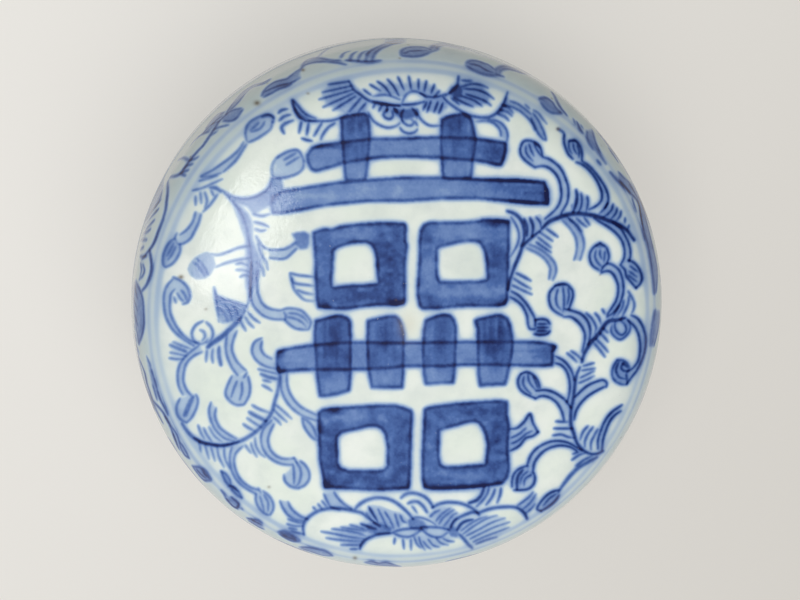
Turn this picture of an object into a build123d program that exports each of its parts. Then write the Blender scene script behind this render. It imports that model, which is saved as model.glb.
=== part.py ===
from build123d import *
import os

# A round porcelain box for seal paste, in three pieces: a bowl on a foot ring, a domed
# lid whose rim sits on the bowl's ledge, outside an upstanding lip, and the pad of red
# paste that the bowl holds. Every piece is turned about +Z from one half section.
# Millimetres. The origin is the middle of the foot ring's underside, and +Z is up.

# Outside of the closed box
body_radius = 48.0  # both halves, where they meet
ledge_height = 30.0  # foot to the ledge that carries the lid
lid_height = 21.8  # ledge to the crown

# Lid
lid_wall = 2.8  # at the rim
lid_crown_wall = 3.4
lid_lean = 1.0  # how far the wall leans in, up to the corner where it would meet the dome
lid_corner_height = 14.8  # ledge to that corner, which the shoulder rounds off
lid_shoulder_round = 12.0  # outside; the inside round is concentric with it
lid_rim_round = 0.7

# Seat of the lid on the bowl
lid_play = 0.4  # lip to the inside of the lid, on the radius
lip_height = 3.8
lip_wall = 1.8  # at its top
lip_lean = 0.5  # how far the lip leans in over its height
lip_round = 0.7
lip_root_round = 0.3  # glaze-free hollow between ledge and lip
ledge_round = 0.7

# Bowl
bowl_lean = 1.2  # how far the wall leans in, down to the corner with the underside
bowl_corner_height = 8.4  # foot to that corner, which the turn rounds off
bowl_turn_round = 13.0
bowl_floor_wall = 4.2  # above the recess in the foot
bowl_inner_lean = 0.2  # how far the inside narrows from the lip to the floor
bowl_inner_round = 9.0

# Foot ring
foot_inset = 14.6  # wall of the box to where the underside meets the ring
foot_height = 3.4
foot_width = 4.0
foot_lean = 0.5  # how far each side of the ring leans towards its underside
foot_round = 0.8
foot_root_round = 1.4  # where the ring grows out of the underside
recess_dish = 0.5  # rise of the recess from the ring to its middle

# Paste
paste_gap = 0.3  # free space between the paste and the bowl
paste_edge_height = 13.2  # floor to the edge of the pad
paste_crown = 4.0  # edge to the top of the mound
paste_edge_round = 3.0

# Heights and radii that follow from these
crown_height = ledge_height + lid_height
lid_corner_radius = body_radius - lid_lean
shoulder_corner = (lid_corner_radius, ledge_height + lid_corner_height)
lid_bore = body_radius - lid_wall
hollow_crown = crown_height - lid_crown_wall
hollow_corner = (lid_corner_radius - lid_wall, ledge_height + lid_corner_height - lid_crown_wall)
hollow_round = lid_shoulder_round - lid_wall
lip_root = lid_bore - lid_play
lip_top = ledge_height + lip_height
lip_outer = lip_root - lip_lean
lip_inner = lip_outer - lip_wall
bowl_inner_radius = lip_inner - bowl_inner_lean
bowl_turn = (body_radius - bowl_lean, bowl_corner_height)
foot_radius = body_radius - foot_inset
recess_height = foot_height + recess_dish
floor_height = recess_height + bowl_floor_wall
foot_outer = foot_radius - foot_lean
recess_radius = foot_radius - foot_width
foot_inner = recess_radius + foot_lean
paste_floor = floor_height + paste_gap
paste_radius = bowl_inner_radius - paste_gap
paste_edge = floor_height + paste_edge_height


def round_corner(section, corner, radius):
    """Round the corner of a half section that lies at (radius, height)."""
    fillet(section.vertices().sort_by_distance(corner)[0], radius)


def turn(section, name):
    """Turn a half section about the axis of the box and write the piece."""
    piece = revolve(section.sketch, Axis.Z)
    piece.label = name
    export_step(piece, f"parts/{name}.step")
    return piece


def lid_section():
    """Half section of the lid: rim, leaning wall, rounded shoulder and low dome."""
    with BuildSketch(Plane.XZ) as section:
        with BuildLine():
            crown = TangentArc((0, crown_height), shoulder_corner, tangent=(1, 0))
            wall = Line(crown @ 1, (body_radius, ledge_height))
            rim = Line(wall @ 1, (lid_bore, ledge_height))
            inner_wall = Line(rim @ 1, hollow_corner)
            hollow = TangentArc((0, hollow_crown), hollow_corner, tangent=(1, 0))
            axis = Line((0, hollow_crown), (0, crown_height))
        make_face()
        round_corner(section, shoulder_corner, lid_shoulder_round)
        round_corner(section, hollow_corner, hollow_round)
        round_corner(section, (body_radius, ledge_height), lid_rim_round)
        round_corner(section, (lid_bore, ledge_height), lid_rim_round)
    return section


def base_section():
    """Half section of the bowl: foot ring, underside, wall, ledge, lip and inside."""
    with BuildSketch(Plane.XZ) as section:
        with BuildLine():
            Polyline(
                (0, recess_height),
                (recess_radius, foot_height),
                (foot_inner, 0),
                (foot_outer, 0),
                (foot_radius, foot_height),
                bowl_turn,
                (body_radius, ledge_height),
                (lip_root, ledge_height),
                (lip_outer, lip_top),
                (lip_inner, lip_top),
                (bowl_inner_radius, floor_height),
                (0, floor_height),
                close=True,
            )
        make_face()
        round_corner(section, bowl_turn, bowl_turn_round)
        round_corner(section, (bowl_inner_radius, floor_height), bowl_inner_round)
        round_corner(section, (body_radius, ledge_height), ledge_round)
        round_corner(section, (lip_root, ledge_height), lip_root_round)
        for lip_edge in (lip_outer, lip_inner):
            round_corner(section, (lip_edge, lip_top), lip_round)
        for foot_edge in (foot_inner, foot_outer):
            round_corner(section, (foot_edge, 0), foot_round)
        for foot_root in (recess_radius, foot_radius):
            round_corner(section, (foot_root, foot_height), foot_root_round)
    return section


def paste_section():
    """Half section of the paste: a pad that fills the bowl and swells to a mound."""
    with BuildSketch(Plane.XZ) as section:
        with BuildLine():
            mound = TangentArc((0, paste_edge + paste_crown), (paste_radius, paste_edge), tangent=(1, 0))
            side = Line(mound @ 1, (paste_radius, paste_floor))
            underside = Line(side @ 1, (0, paste_floor))
            axis = Line(underside @ 1, mound @ 0)
        make_face()
        round_corner(section, (paste_radius, paste_edge), paste_edge_round)
        round_corner(section, (paste_radius, paste_floor), bowl_inner_round - paste_gap)
    return section


os.makedirs("parts", exist_ok=True)
lid = turn(lid_section(), "lid")
base = turn(base_section(), "base")
seal_paste = turn(paste_section(), "seal_paste")
print("lid lifts clear of the lip after", lip_height, "mm")
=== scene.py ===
import math

import bpy
import numpy as np
from mathutils import Matrix


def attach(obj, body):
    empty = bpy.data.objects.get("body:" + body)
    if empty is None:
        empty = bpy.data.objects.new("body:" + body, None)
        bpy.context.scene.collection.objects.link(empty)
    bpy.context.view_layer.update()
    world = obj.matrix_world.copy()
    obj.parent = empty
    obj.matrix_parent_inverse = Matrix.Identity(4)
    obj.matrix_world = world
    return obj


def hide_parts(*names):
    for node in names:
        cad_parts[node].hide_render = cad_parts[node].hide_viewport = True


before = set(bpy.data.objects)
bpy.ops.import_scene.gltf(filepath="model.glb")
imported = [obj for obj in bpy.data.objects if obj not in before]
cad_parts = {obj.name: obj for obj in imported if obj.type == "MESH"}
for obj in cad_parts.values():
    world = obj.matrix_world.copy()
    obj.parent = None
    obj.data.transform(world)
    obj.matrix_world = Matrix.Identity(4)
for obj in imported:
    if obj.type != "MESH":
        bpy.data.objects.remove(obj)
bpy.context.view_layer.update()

# A round porcelain seal paste box, painted in cobalt blue under a clear glaze.
# The pieces are built in millimetres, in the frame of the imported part, and scaled to metres.
MM = 0.001
rng = np.random.default_rng(seed=7)

# Camera and picture
PICTURE = (800, 600)
MIDDLE = (PICTURE[0] / 2, PICTURE[1] / 2)
SENSOR = 36.0
VIEW_HEIGHT = 30.0  # the seat of the lid, which the camera aims at
VIEW_DISTANCE = 450.0
PIXELS_PER_MM = 5.4996  # at the aim point
FOCAL = VIEW_DISTANCE * PIXELS_PER_MM  # in pixels
LEAN_LEFT = math.radians(5.76)  # how far the camera stands to the left of straight above
LEAN_BACK = math.radians(9.69)  # and towards the top of the picture
SLIDE = (0.64, 0.56)  # mm to the right and up, so that the box lies where it does

toward = np.array([-math.sin(LEAN_LEFT), math.sin(LEAN_BACK), 0.0])
toward[2] = math.sqrt(1 - toward @ toward)
upward = np.array([0.0, 1.0, 0.0]) - toward[1] * toward
upward /= np.linalg.norm(upward)
rightward = np.cross(upward, toward)
aim_point = np.array([0.0, 0.0, VIEW_HEIGHT])
eye = aim_point + VIEW_DISTANCE * toward + SLIDE[0] * rightward + SLIDE[1] * upward


def in_picture(points):
    """Pixel coordinates at which points, in millimetres, show in the picture."""
    ray = points - eye
    depth = -(ray @ toward)
    x = MIDDLE[0] + FOCAL * (ray @ rightward) / depth
    y = MIDDLE[1] - FOCAL * (ray @ upward) / depth
    return x, y


def sight_lines(pixels):
    """Directions from the camera through pixels, each with a depth of one."""
    across = (pixels[:, 0] - MIDDLE[0]) / FOCAL
    down = (pixels[:, 1] - MIDDLE[1]) / FOCAL
    return across[:, None] * rightward - down[:, None] * upward - toward


# Shape of the turned pieces, in millimetres and with the same values as the part
BODY_RADIUS = 48.0
LEDGE = 30.0
CROWN = 51.8
LID_CORNER = (47.0, 44.8)
DOME_RADIUS = 161.3  # of the low dome over the lid's middle
SHOULDER_ROUND = 12.0
LID_BORE = 45.2
HOLLOW_CROWN = 48.4
HOLLOW_CORNER = (44.2, 41.4)
HOLLOW_ROUND = 9.2
EDGE_ROUND = 0.7
LIP_ROOT = 44.8
LIP_OUTER = 44.3
LIP_INNER = 42.5
LIP_TOP = 33.8
LIP_ROOT_ROUND = 0.3
BOWL_INSIDE = 42.3
BOWL_FLOOR = 8.1
BOWL_INSIDE_ROUND = 9.0
BOWL_TURN = (46.8, 8.4)
BOWL_TURN_ROUND = 13.0
FOOT_HEIGHT = 3.4
FOOT_ROOT_OUTER = 33.4
FOOT_OUTER = 32.9
FOOT_INNER = 29.9
FOOT_ROOT_INNER = 29.4
FOOT_ROUND = 0.8
FOOT_ROOT_ROUND = 1.4
RECESS = 3.9
PASTE_RADIUS = 42.0
PASTE_FLOOR = 8.4
PASTE_EDGE = 21.3
PASTE_TOP = 25.3
PASTE_ROUND = 8.7

# Spacing of the points, in millimetres along a profile and round a ring, where a piece shows and inside it
SURFACE_STEP = 0.2
INSIDE_STEP = 0.6
LID_CELL = 0.2
BASE_CELL = 0.26
INSIDE_CELL = 0.8

# Painted rings on the shoulder of the lid, as radii
OUTER_RING = 44.84
INNER_RING = 43.47


def angle_of(direction):
    """Angle of a direction in a profile, from the outward radius."""
    return math.atan2(direction[1], direction[0])


def along_line(start, end, step):
    """Points from start up to, and without, the end of a straight run of a profile."""
    start = np.array(start, float)
    run = np.array(end, float) - start
    count = max(1, round(np.linalg.norm(run) / step))
    return start + run * (np.arange(count) / count)[:, None]


def along_arc(centre, radius, first, last, step):
    """Points along an arc of a profile between two angles, without its last."""
    count = max(4, round(abs(last - first) * radius / step))
    angle = first + (last - first) * np.arange(count) / count
    return np.array(centre) + radius * np.column_stack([np.cos(angle), np.sin(angle)])


def rounded_run(corners, step):
    """Points along straight runs between (radius, height, round) corners, without the last."""
    runs = []
    start = np.array(corners[0][:2], float)
    for before, corner, after in zip(corners, corners[1:], corners[2:]):
        here = np.array(corner[:2], float)
        back = np.array(before[:2], float) - here
        ahead = np.array(after[:2], float) - here
        back /= np.linalg.norm(back)
        ahead /= np.linalg.norm(ahead)
        half = math.acos(np.clip(back @ ahead, -1, 1)) / 2
        reach = corner[2] / math.tan(half)
        centre = here + (back + ahead) / np.linalg.norm(back + ahead) * corner[2] / math.sin(half)
        entry = here + back * reach
        leave = here + ahead * reach
        first = angle_of(entry - centre)
        sweep = angle_of(leave - centre) - first
        sweep = (sweep + math.pi) % (2 * math.pi) - math.pi
        runs.append(along_line(start, entry, step))
        runs.append(along_arc(centre, corner[2], first, first + sweep, min(step, corner[2] / 4)))
        start = leave
    runs.append(along_line(start, corners[-1][:2], step))
    return np.vstack(runs)


def domed_corner(crown, corner, foot, radius):
    """Where a low dome from the crown meets a leaning wall with a rounded corner.

    Gives the dome's centre and radius, the round's centre, and the angles of the round's two ends."""
    rise = crown - corner[1]
    dome = (corner[0] ** 2 + rise**2) / (2 * rise)
    dome_centre = np.array([0.0, crown - dome])
    wall = np.array(foot, float) - corner
    wall /= np.linalg.norm(wall)
    inward = np.array([wall[1], -wall[0]])
    offset = np.array(corner) + radius * inward - dome_centre
    along = offset @ wall
    spread = math.sqrt(along**2 - offset @ offset + (dome - radius) ** 2)
    slide = -along - spread
    if slide < 0:
        slide = -along + spread
    centre = dome_centre + offset + slide * wall
    return dome_centre, dome, centre, angle_of(centre - dome_centre), angle_of(-inward)


def lid_profile(fine, coarse):
    """Profile of the lid from its crown, over the shoulder and rim, to the middle of its hollow.

    With it comes the number of its points on the outside."""
    outer = (CROWN, LID_CORNER, (BODY_RADIUS, LEDGE), SHOULDER_ROUND)
    dome_centre, dome, centre, leave, wall = domed_corner(*outer)
    outside = [along_arc(dome_centre, dome, math.pi / 2, leave, fine),
               along_arc(centre, SHOULDER_ROUND, leave, wall, fine)]
    wall_top = centre + SHOULDER_ROUND * np.array([math.cos(wall), math.sin(wall)])
    inner = (HOLLOW_CROWN, HOLLOW_CORNER, (LID_BORE, LEDGE), HOLLOW_ROUND)
    dome_centre, dome, centre, leave, wall = domed_corner(*inner)
    hollow_top = centre + HOLLOW_ROUND * np.array([math.cos(wall), math.sin(wall)])
    rim = [(*wall_top, 0), (BODY_RADIUS, LEDGE, EDGE_ROUND),
           (LID_BORE, LEDGE, EDGE_ROUND), (*hollow_top, 0)]
    outside.append(rounded_run(rim, fine))
    inside = [along_arc(centre, HOLLOW_ROUND, wall, leave, coarse),
              along_arc(dome_centre, dome, leave, math.pi / 2, coarse),
              np.array([[0.0, HOLLOW_CROWN]])]
    return np.vstack(outside + inside), sum(len(run) for run in outside)


def base_profile(fine, coarse):
    """Profile of the bowl from the middle of its underside, over the lip, to the middle of its floor.

    With it comes the number of its points on the outside, which ends a little below the lip."""
    under_lip = (LIP_INNER - 0.03, LIP_TOP - 3, 0)
    outside = rounded_run([
        (0, RECESS, 0), (FOOT_ROOT_INNER, FOOT_HEIGHT, FOOT_ROOT_ROUND), (FOOT_INNER, 0, FOOT_ROUND),
        (FOOT_OUTER, 0, FOOT_ROUND), (FOOT_ROOT_OUTER, FOOT_HEIGHT, FOOT_ROOT_ROUND),
        (*BOWL_TURN, BOWL_TURN_ROUND), (BODY_RADIUS, LEDGE, EDGE_ROUND),
        (LIP_ROOT, LEDGE, LIP_ROOT_ROUND), (LIP_OUTER, LIP_TOP, EDGE_ROUND),
        (LIP_INNER, LIP_TOP, EDGE_ROUND), under_lip], fine)
    inside = rounded_run([
        under_lip, (BOWL_INSIDE, BOWL_FLOOR, BOWL_INSIDE_ROUND), (0, BOWL_FLOOR, 0)], coarse)
    return np.vstack([outside, inside, [[0.0, BOWL_FLOOR]]]), len(outside)


def distance_along(profile):
    """Distance of each point of a profile from its first."""
    return np.concatenate([[0.0], np.cumsum(np.linalg.norm(np.diff(profile, axis=0), axis=1))])


def between(values, low, high):
    """0 below low, 1 above high and smooth between them."""
    t = np.clip((values - low) / (high - low), 0, 1)
    return t * t * (3 - 2 * t)


# Painting: strokes, laid on fields of ink that the glazed surfaces then carry
RIM_WIDTH = 2.2  # units over which a wash darkens towards its edge


def smooth_line(points, step):
    """Closely spaced points on a smooth line through given ones."""
    if len(points) < 3:
        run = points[1] - points[0]
        count = max(2, int(np.linalg.norm(run) / step) + 1)
        return points[0] + run * np.linspace(0, 1, count)[:, None]
    ends = np.vstack([2 * points[0] - points[1], points, 2 * points[-1] - points[-2]])
    runs = []
    for a, b, c, d in zip(ends, ends[1:], ends[2:], ends[3:]):
        count = max(2, int(np.linalg.norm(c - b) / step))
        t = (np.arange(count) / count)[:, None]
        bend = a - 2.5 * b + 2 * c - d / 2
        twist = 1.5 * (b - c) + (d - a) / 2
        runs.append(b + t * (c - a) / 2 + t**2 * bend + t**3 * twist)
    return np.vstack(runs + [points[-1:]])


def soften(field, cells):
    """A field blurred by three passes of a sliding mean, both ways."""
    width = 2 * max(1, round(cells)) + 1
    for _ in range(3):
        for axis in (0, 1):
            edge = [(0, 0), (0, 0)]
            edge[axis] = (width // 2 + 1, width // 2)
            total = np.cumsum(np.pad(field, edge, mode="edge"), axis=axis)
            later = np.take(total, range(width, total.shape[axis]), axis=axis)
            sooner = np.take(total, range(total.shape[axis] - width), axis=axis)
            field = (later - sooner) / width
    return field


def mottle(shape, down, across=None):
    """Smooth unevenness about zero, whose patches are that many cells down and across."""
    across = across or down
    coarse = rng.standard_normal((int(shape[0] / down) + 3, int(shape[1] / across) + 3))
    y = np.arange(shape[0]) / down
    x = np.arange(shape[1]) / across
    row = y.astype(int)
    column = x.astype(int)
    fy = between(y - row, 0, 1)[:, None]
    fx = between(x - column, 0, 1)[None, :]
    upper = coarse[np.ix_(row, column)] * (1 - fx) + coarse[np.ix_(row, column + 1)] * fx
    lower = coarse[np.ix_(row + 1, column)] * (1 - fx) + coarse[np.ix_(row + 1, column + 1)] * fx
    return upper * (1 - fy) + lower * fy


def read_points(text):
    """Points written as x,y pairs with spaces between them."""
    return np.array([[float(n) for n in pair.split(",")] for pair in text.split()])


def rows_of(text):
    """The rows of a block of strokes."""
    return text.strip().splitlines()


def sides_of(row):
    """The two sides or outlines of a row, which are written first | second."""
    return [read_points(side) for side in row.split("|")]


def as_given(points):
    """The points as they are: most strokes are written where they lie."""
    return points


class Painting:
    """A flat field of cobalt ink, in picture pixels or in millimetres along a wall."""

    def __init__(self, low, high, cells, soft):
        self.low = np.array(low, float)
        self.high = np.array(high, float)
        self.cells = cells  # to one unit
        self.soft = soft  # units over which the edge of a stroke fades
        columns, rows = np.ceil((self.high - self.low) * cells).astype(int) + 1
        self.ink = np.zeros((rows, columns))

    def window(self, points, margin):
        """Row and column slices round some points, and the coordinates of the cells inside."""
        first = np.floor((points.min(0) - margin - self.low) * self.cells).astype(int)
        last = np.ceil((points.max(0) + margin - self.low) * self.cells).astype(int) + 1
        limit = np.array(self.ink.shape)[::-1]
        first = np.clip(first, 0, limit - 1)
        last = np.clip(last, 1, limit)
        rows = slice(first[1], last[1])
        columns = slice(first[0], last[0])
        x = self.low[0] + np.arange(first[0], last[0]) / self.cells
        y = self.low[1] + np.arange(first[1], last[1]) / self.cells
        return rows, columns, x[None, :], y[:, None]

    def line(self, points, width, ink, taper=0.45):
        """One brush line, fullest near its start and thinner at its end."""
        path = smooth_line(points, 0.8 * width)
        reach = width / 2 + self.soft
        rows, columns, x, y = self.window(path, reach)
        cover = np.zeros(self.ink[rows, columns].shape)
        along = np.linspace(0, 1, len(path))
        # the brush is set down at the start and lifted over the last third
        swelling = 0.6 + 3.5 * along
        thinning = taper + (1 - taper) * 3 * (1 - along)
        half = width / 2 * np.minimum(1, np.minimum(swelling, thinning))
        for start, end, a, b in zip(path, path[1:], half, half[1:]):
            r, c, _, _ = self.window(np.vstack([start, end]), reach)
            r = slice(max(r.start - rows.start, 0), max(r.stop - rows.start, 0))
            c = slice(max(c.start - columns.start, 0), max(c.stop - columns.start, 0))
            dx = x[:, c] - start[0]
            dy = y[r] - start[1]
            run = end - start
            t = np.clip((dx * run[0] + dy * run[1]) / max(run @ run, 1e-9), 0, 1)
            far = np.hypot(dx - t * run[0], dy - t * run[1])
            part = np.clip((a + (b - a) * t - far) / self.soft + 0.5, 0, 1)
            np.maximum(cover[r, c], part, out=cover[r, c])
        self.ink[rows, columns] += ink * cover

    def lines(self, width, ink, text, taper=0.45, place=as_given):
        """Brush lines, one to a row of points."""
        for row in rows_of(text):
            self.line(place(read_points(row)), width, ink, taper)

    def fill(self, outline, ink, rim, rim_width=RIM_WIDTH):
        """A wash inside an outline, with the ink drawn to its edge as it dries."""
        rows, columns, x, y = self.window(outline, rim_width * 2)
        inside = np.zeros(self.ink[rows, columns].shape, bool)
        for (x0, y0), (x1, y1) in zip(outline, np.roll(outline, -1, axis=0)):
            crossing = (y0 <= y) != (y1 <= y)
            at = x0 + (y - y0) * (x1 - x0) / (y1 - y0 if y1 != y0 else 1)
            inside ^= crossing & (x < at)
        solid = soften(inside.astype(float), 0.35 * self.cells * self.soft)
        edge = soften(inside.astype(float), rim_width * self.cells / 2)
        self.ink[rows, columns] += ink * solid * (1 + rim * 2 * (1 - np.clip(edge, 0.5, 1)))

    def fills(self, rim, text):
        """Washes, one to a row, each written as its ink: its outline."""
        for row in rows_of(text):
            ink, outline = row.split(":")
            self.fill(read_points(outline), float(ink), rim)

    def washed(self, width, ink, wash, text, place=as_given, rim_width=RIM_WIDTH):
        """Stems, leaves and buds: two brush lines, written left | right, and a wash between them."""
        for row in rows_of(text):
            sides = [place(side) for side in sides_of(row)]
            near, far = (smooth_line(side, 2 * self.soft) for side in sides)
            self.fill(np.vstack([near, far[::-1]]), wash, 0.2, rim_width)
            for side in sides:
                self.line(side, width, ink, taper=0.7)

    def bordered(self, outlines, wash, border, width, streaks):
        """A streaky wash inside an outline, round a second one if it has a hole, edged with a firm line."""
        rows, columns, _, _ = self.window(outlines[0], 3 * width)
        shape = Painting(self.low, self.high, self.cells, self.soft)
        for outline, sign in zip(outlines, (1, -1)):
            shape.fill(outline, sign, rim=0)
        solid = np.clip(shape.ink[rows, columns], 0, 1)
        inside = (solid > 0.5).astype(float)
        cell = self.cells * self.soft
        # the core is the wash that the firm line leaves free
        core = soften((soften(inside, width * cell / 2.6) > 0.985).astype(float), 0.3 * cell)
        along, aside = streaks
        streak = mottle(solid.shape, aside * cell, along * cell)
        streak = streak + 0.6 * mottle(solid.shape, 0.6 * aside * cell)
        uneven_line = 1 + 0.22 * mottle(solid.shape, 9 * cell)
        below = self.ink[rows, columns]
        over = wash * solid * (1 + 0.1 * streak)
        crossed = np.maximum(below, over) + 0.25 * np.minimum(below, over)
        self.ink[rows, columns] = crossed + border * uneven_line * np.clip(solid - core, 0, 1)

    def blots(self, ink, spots):
        """Soft places, as x, y and reach both ways, where the ink lies thicker, or thinner."""
        for x0, y0, across, down in spots:
            reach = 2 * np.array([[across, down]])
            rows, columns, x, y = self.window(np.vstack([-reach, reach]) + (x0, y0), 0)
            self.ink[rows, columns] *= 1 + ink * np.exp(-((x - x0) / across) ** 2 - ((y - y0) / down) ** 2)

    def settle(self, bleed, patchy):
        """The ink spreads a little into the glaze round each stroke, and comes out uneven."""
        cell = self.cells * self.soft
        self.ink = soften(self.ink, 0.3 * cell)
        halo = 0.6 * soften(self.ink, 1.6 * cell) + 0.4 * soften(self.ink, 4.5 * cell)
        self.ink += bleed * halo * (1 - np.clip(self.ink / 0.55, 0, 1))
        uneven = mottle(self.ink.shape, 14 * cell) + 0.7 * mottle(self.ink.shape, 5 * cell)
        fine = mottle(self.ink.shape, 1.6 * cell)
        self.ink *= np.clip(1 + patchy * uneven + 0.6 * patchy * fine, 0.4, 1.8)

    def sample(self, x, y):
        """Ink at places on the painting, smooth between its cells and none outside it."""
        column = (x - self.low[0]) * self.cells
        row = (y - self.low[1]) * self.cells
        rows, columns = self.ink.shape
        inside = (column >= 0) & (row >= 0) & (column < columns - 1) & (row < rows - 1)
        column = np.where(inside, column, 0)
        row = np.where(inside, row, 0)
        c = column.astype(int)
        r = row.astype(int)
        fc = column - c
        fr = row - r
        upper = self.ink[r, c] * (1 - fc) + self.ink[r, c + 1] * fc
        lower = self.ink[r + 1, c] * (1 - fc) + self.ink[r + 1, c + 1] * fc
        return np.where(inside, upper * (1 - fr) + lower * fr, 0)


# Lid, top: every point is a pixel of the picture, through which the stroke is laid on the dome
top = Painting((120, 25), (690, 585), cells=2, soft=1.0)

# Joined ornament of bars and hollow squares, which fills the middle of the lid
ORNAMENT_BARS = """
312,147 322,144 334,142 345,141 356,139.5 370,138 400,137.5 430,136.5 441,136 470,137 490,139.5 \
    507,142 507,150 505,158 502,166 495,165.5 485,163 475,161.5 460,160.5 440,159 420,158 400,157.5 \
    380,158.5 365,160.5 352,162.5 344,164 334,167 325,169.5 316,172 311,170 307,163 306,155
272,214 270,205 271,196 285,190 305,187 320,184.5 340,181.5 370,179 400,177 440,176.5 480,178.5 \
    520,179.5 545,181.5 548,190 549,205 543,205 530,204 515,202.5 500,201 480,199.5 450,199 430,200 \
    400,202 370,201.5 350,203.5 330,205.5 315,208 300,211 280,214
277,351 285,348.5 295,346.5 305,345 313,344 352,341 405,342 456,341 513,341 530,340.5 545,342 553,344 \
    557,346 554,352 554,360 553,366 540,367 500,366 460,366 440,367.5 405,367 390,369 370,370 335,371 \
    300,371 285,372.5 278,373 276,365 276,357
"""
ORNAMENT_POSTS = """
340,118 345,116 352,114 360,113 366,113 369,115 370,125 371,138 370,150 369,160 368,170 366.5,180 \
    355,181.5 345,181 344,172 343,163 342,150 341,138 341,128
441,119 447,116 455,114 463,113 470,116 473,120 475,130 477,140 476,150 474,160 473,170 472,179 \
    460,180 450,180.5 442,179 441,165 440,150 440,135
315,320 320,319 327,317 335,315 342,315 348,317 351,321 352,345 351.5,375 350,391 337,395 328,396.5 \
    319,397 316,375 315,360 314,345 314,330
367,320 380,317 388,315.5 396,315.5 400,319 403,325 405,335 405,350 404,375 403,388 371,388.5 369,378 \
    367,368 366.5,350 366.5,335
425,320 430,317.5 437,315 444,313.5 450,314.5 454,318 456.5,325 457,335 456,365 455,375 454,383.5 \
    440,384 425,385 423,375 422,360 422,345 423,330
474,320 479,318 486,316.5 495,314.5 502,314.5 508,318 511,325 513,335 514,345 513,355 511,365 \
    508.5,375 506,385 485,386 479.5,387 477.5,375 477,360 477,330 475,323
"""
# Hollow squares, written outer edge | inner edge
ORNAMENT_SQUARES = """
313,232 318,230 325,228 332,229 340,226 350,224.5 360,223.5 375,222.5 390,222 405,223 407,226 406,240 \
    408,246 406,260 406,300 404,304 395,306 375,306 365,307 355,308.5 345,310 335,309.5 318,308 \
    316,300 315,280 315,265 314,250 313,240 | 334,251 338,248 345,245.5 352,243.5 360,242.5 367,243 \
    371,245 374,250 376,258 377,276 378,283 365,284.5 350,285 340,286 333,287 332,280 333,270 \
    333.5,260
419,240 420,230 424,224 430,222 450,222 465,221.5 480,220 483,218.5 500,219.5 510,220.5 510,235 \
    509,270 508.5,290 508,300 505,305 497,307 465,307 450,308 440,309 422,309.5 419,306 417,296 \
    417,285 418,270 419,255 | 438,249 442,247 450,245 458,243 466,242 473,241.5 479,243 482,247 \
    484.5,253 486,262 486.5,272 487,279 480,280.5 450,281.5 440,281 438,275 438,262
318,412 322,409 330,408 355,406 385,404.5 397,405 404,407 412,410 413,415 412,430 411,470 410,485 \
    409,489 385,490.5 375,491 345,489 324,488 323,480 321,470 319,460 318.5,445 318,430 | 338,437 \
    342,433 350,431 360,429 368,427 376,426.5 381,429 384.5,434 386.5,445 387,466 383,469.5 375,470.5 \
    348,470 341,467.5 338.5,463 338,450
424,409 428,407 440,405 455,403 470,402 485,401 500,400 508,401 508,415 510,425 509,440 509,455 \
    510,470 508,478 503,484 490,486 475,488 445,490 432,490 424,488 422,480 422,450 423,430 | 440,431 \
    445,429 455,426.5 465,423.5 473,422 478,423 482,428 485,435 487,445 486,455 485,464 460,466 \
    445,466.5 441,464 439,455 439.5,445
"""
EDGE_WIDTH = 2.5


def ornament_part(text, washes, border, streaks):
    """Bars, posts or squares of the ornament, each with its own wash, and streaks that long and wide."""
    for row, wash in zip(rows_of(text), washes):
        top.bordered(sides_of(row), wash, border, EDGE_WIDTH, streaks)


ornament_part(ORNAMENT_POSTS, (0.62, 0.6, 0.64, 0.6, 0.62, 0.64), 0.55, (3, 22))
# the upper ends of the posts took a second wash
top.blots(0.7, [(355, 124, 15, 18), (458, 124, 15, 18), (333, 335, 14, 24), (495, 335, 15, 24)])
top.blots(0.35, [(385, 334, 15, 20), (440, 334, 14, 22)])
ornament_part(ORNAMENT_BARS, (0.56, 0.5, 0.52), 0.65, (26, 3))
ornament_part(ORNAMENT_SQUARES, (0.72, 0.62, 0.7, 0.72), 0.52, (7, 5))
# where the brush rested and the wash lies deeper, and where it ran thin; the left ends of the first two
# bars are also painted lighter, a painted highlight where the window's reflection lies over them
top.blots(0.95, [(494, 153, 14, 13), (548, 195, 5, 12), (325, 306, 7, 4), (396, 303, 9, 4),
                 (497, 222, 14, 3.5), (335, 411, 6, 3.5), (320, 427, 3.5, 7), (326, 484, 5, 4.5),
                 (460, 486.5, 40, 3), (281, 353, 4, 9), (281, 370, 6, 3.5), (555, 347, 4, 5),
                 (512, 203, 32, 2.5), (515, 180, 34, 2.5), (327, 146, 18, 3), (504, 303, 8, 4)])
top.blots(0.34, [(392, 262, 15, 34), (497, 262, 12, 34), (362, 296, 44, 8), (528, 191, 30, 12),
                 (428, 240, 8, 18), (430, 303, 12, 8), (497, 445, 12, 36), (400, 445, 10, 34),
                 (332, 450, 10, 34), (365, 481, 40, 8), (462, 302, 40, 5), (540, 354, 14, 12),
                 (475, 410, 30, 6)])
top.blots(-0.25, [(355, 172, 14, 8), (457, 171, 14, 7), (335, 384, 15, 10), (387, 380, 14, 9),
                  (440, 377, 14, 9), (492, 378, 14, 9), (345, 235, 26, 6), (450, 232, 28, 6),
                  (455, 293, 28, 4), (330, 197, 50, 7), (400, 190, 60, 6), (292, 359, 12, 7),
                  (405, 148, 30, 7), (432, 270, 7, 12), (350, 417, 22, 5), (455, 475, 30, 4),
                  (325, 196, 40, 8), (320, 158, 14, 11)])
top.blots(0.45, [(530, 191, 24, 14), (550, 356, 6, 11)])
# painted highlight: the left end of the second bar, under the window's reflection
top.blots(-0.45, [(274, 204, 12, 14)])

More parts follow.
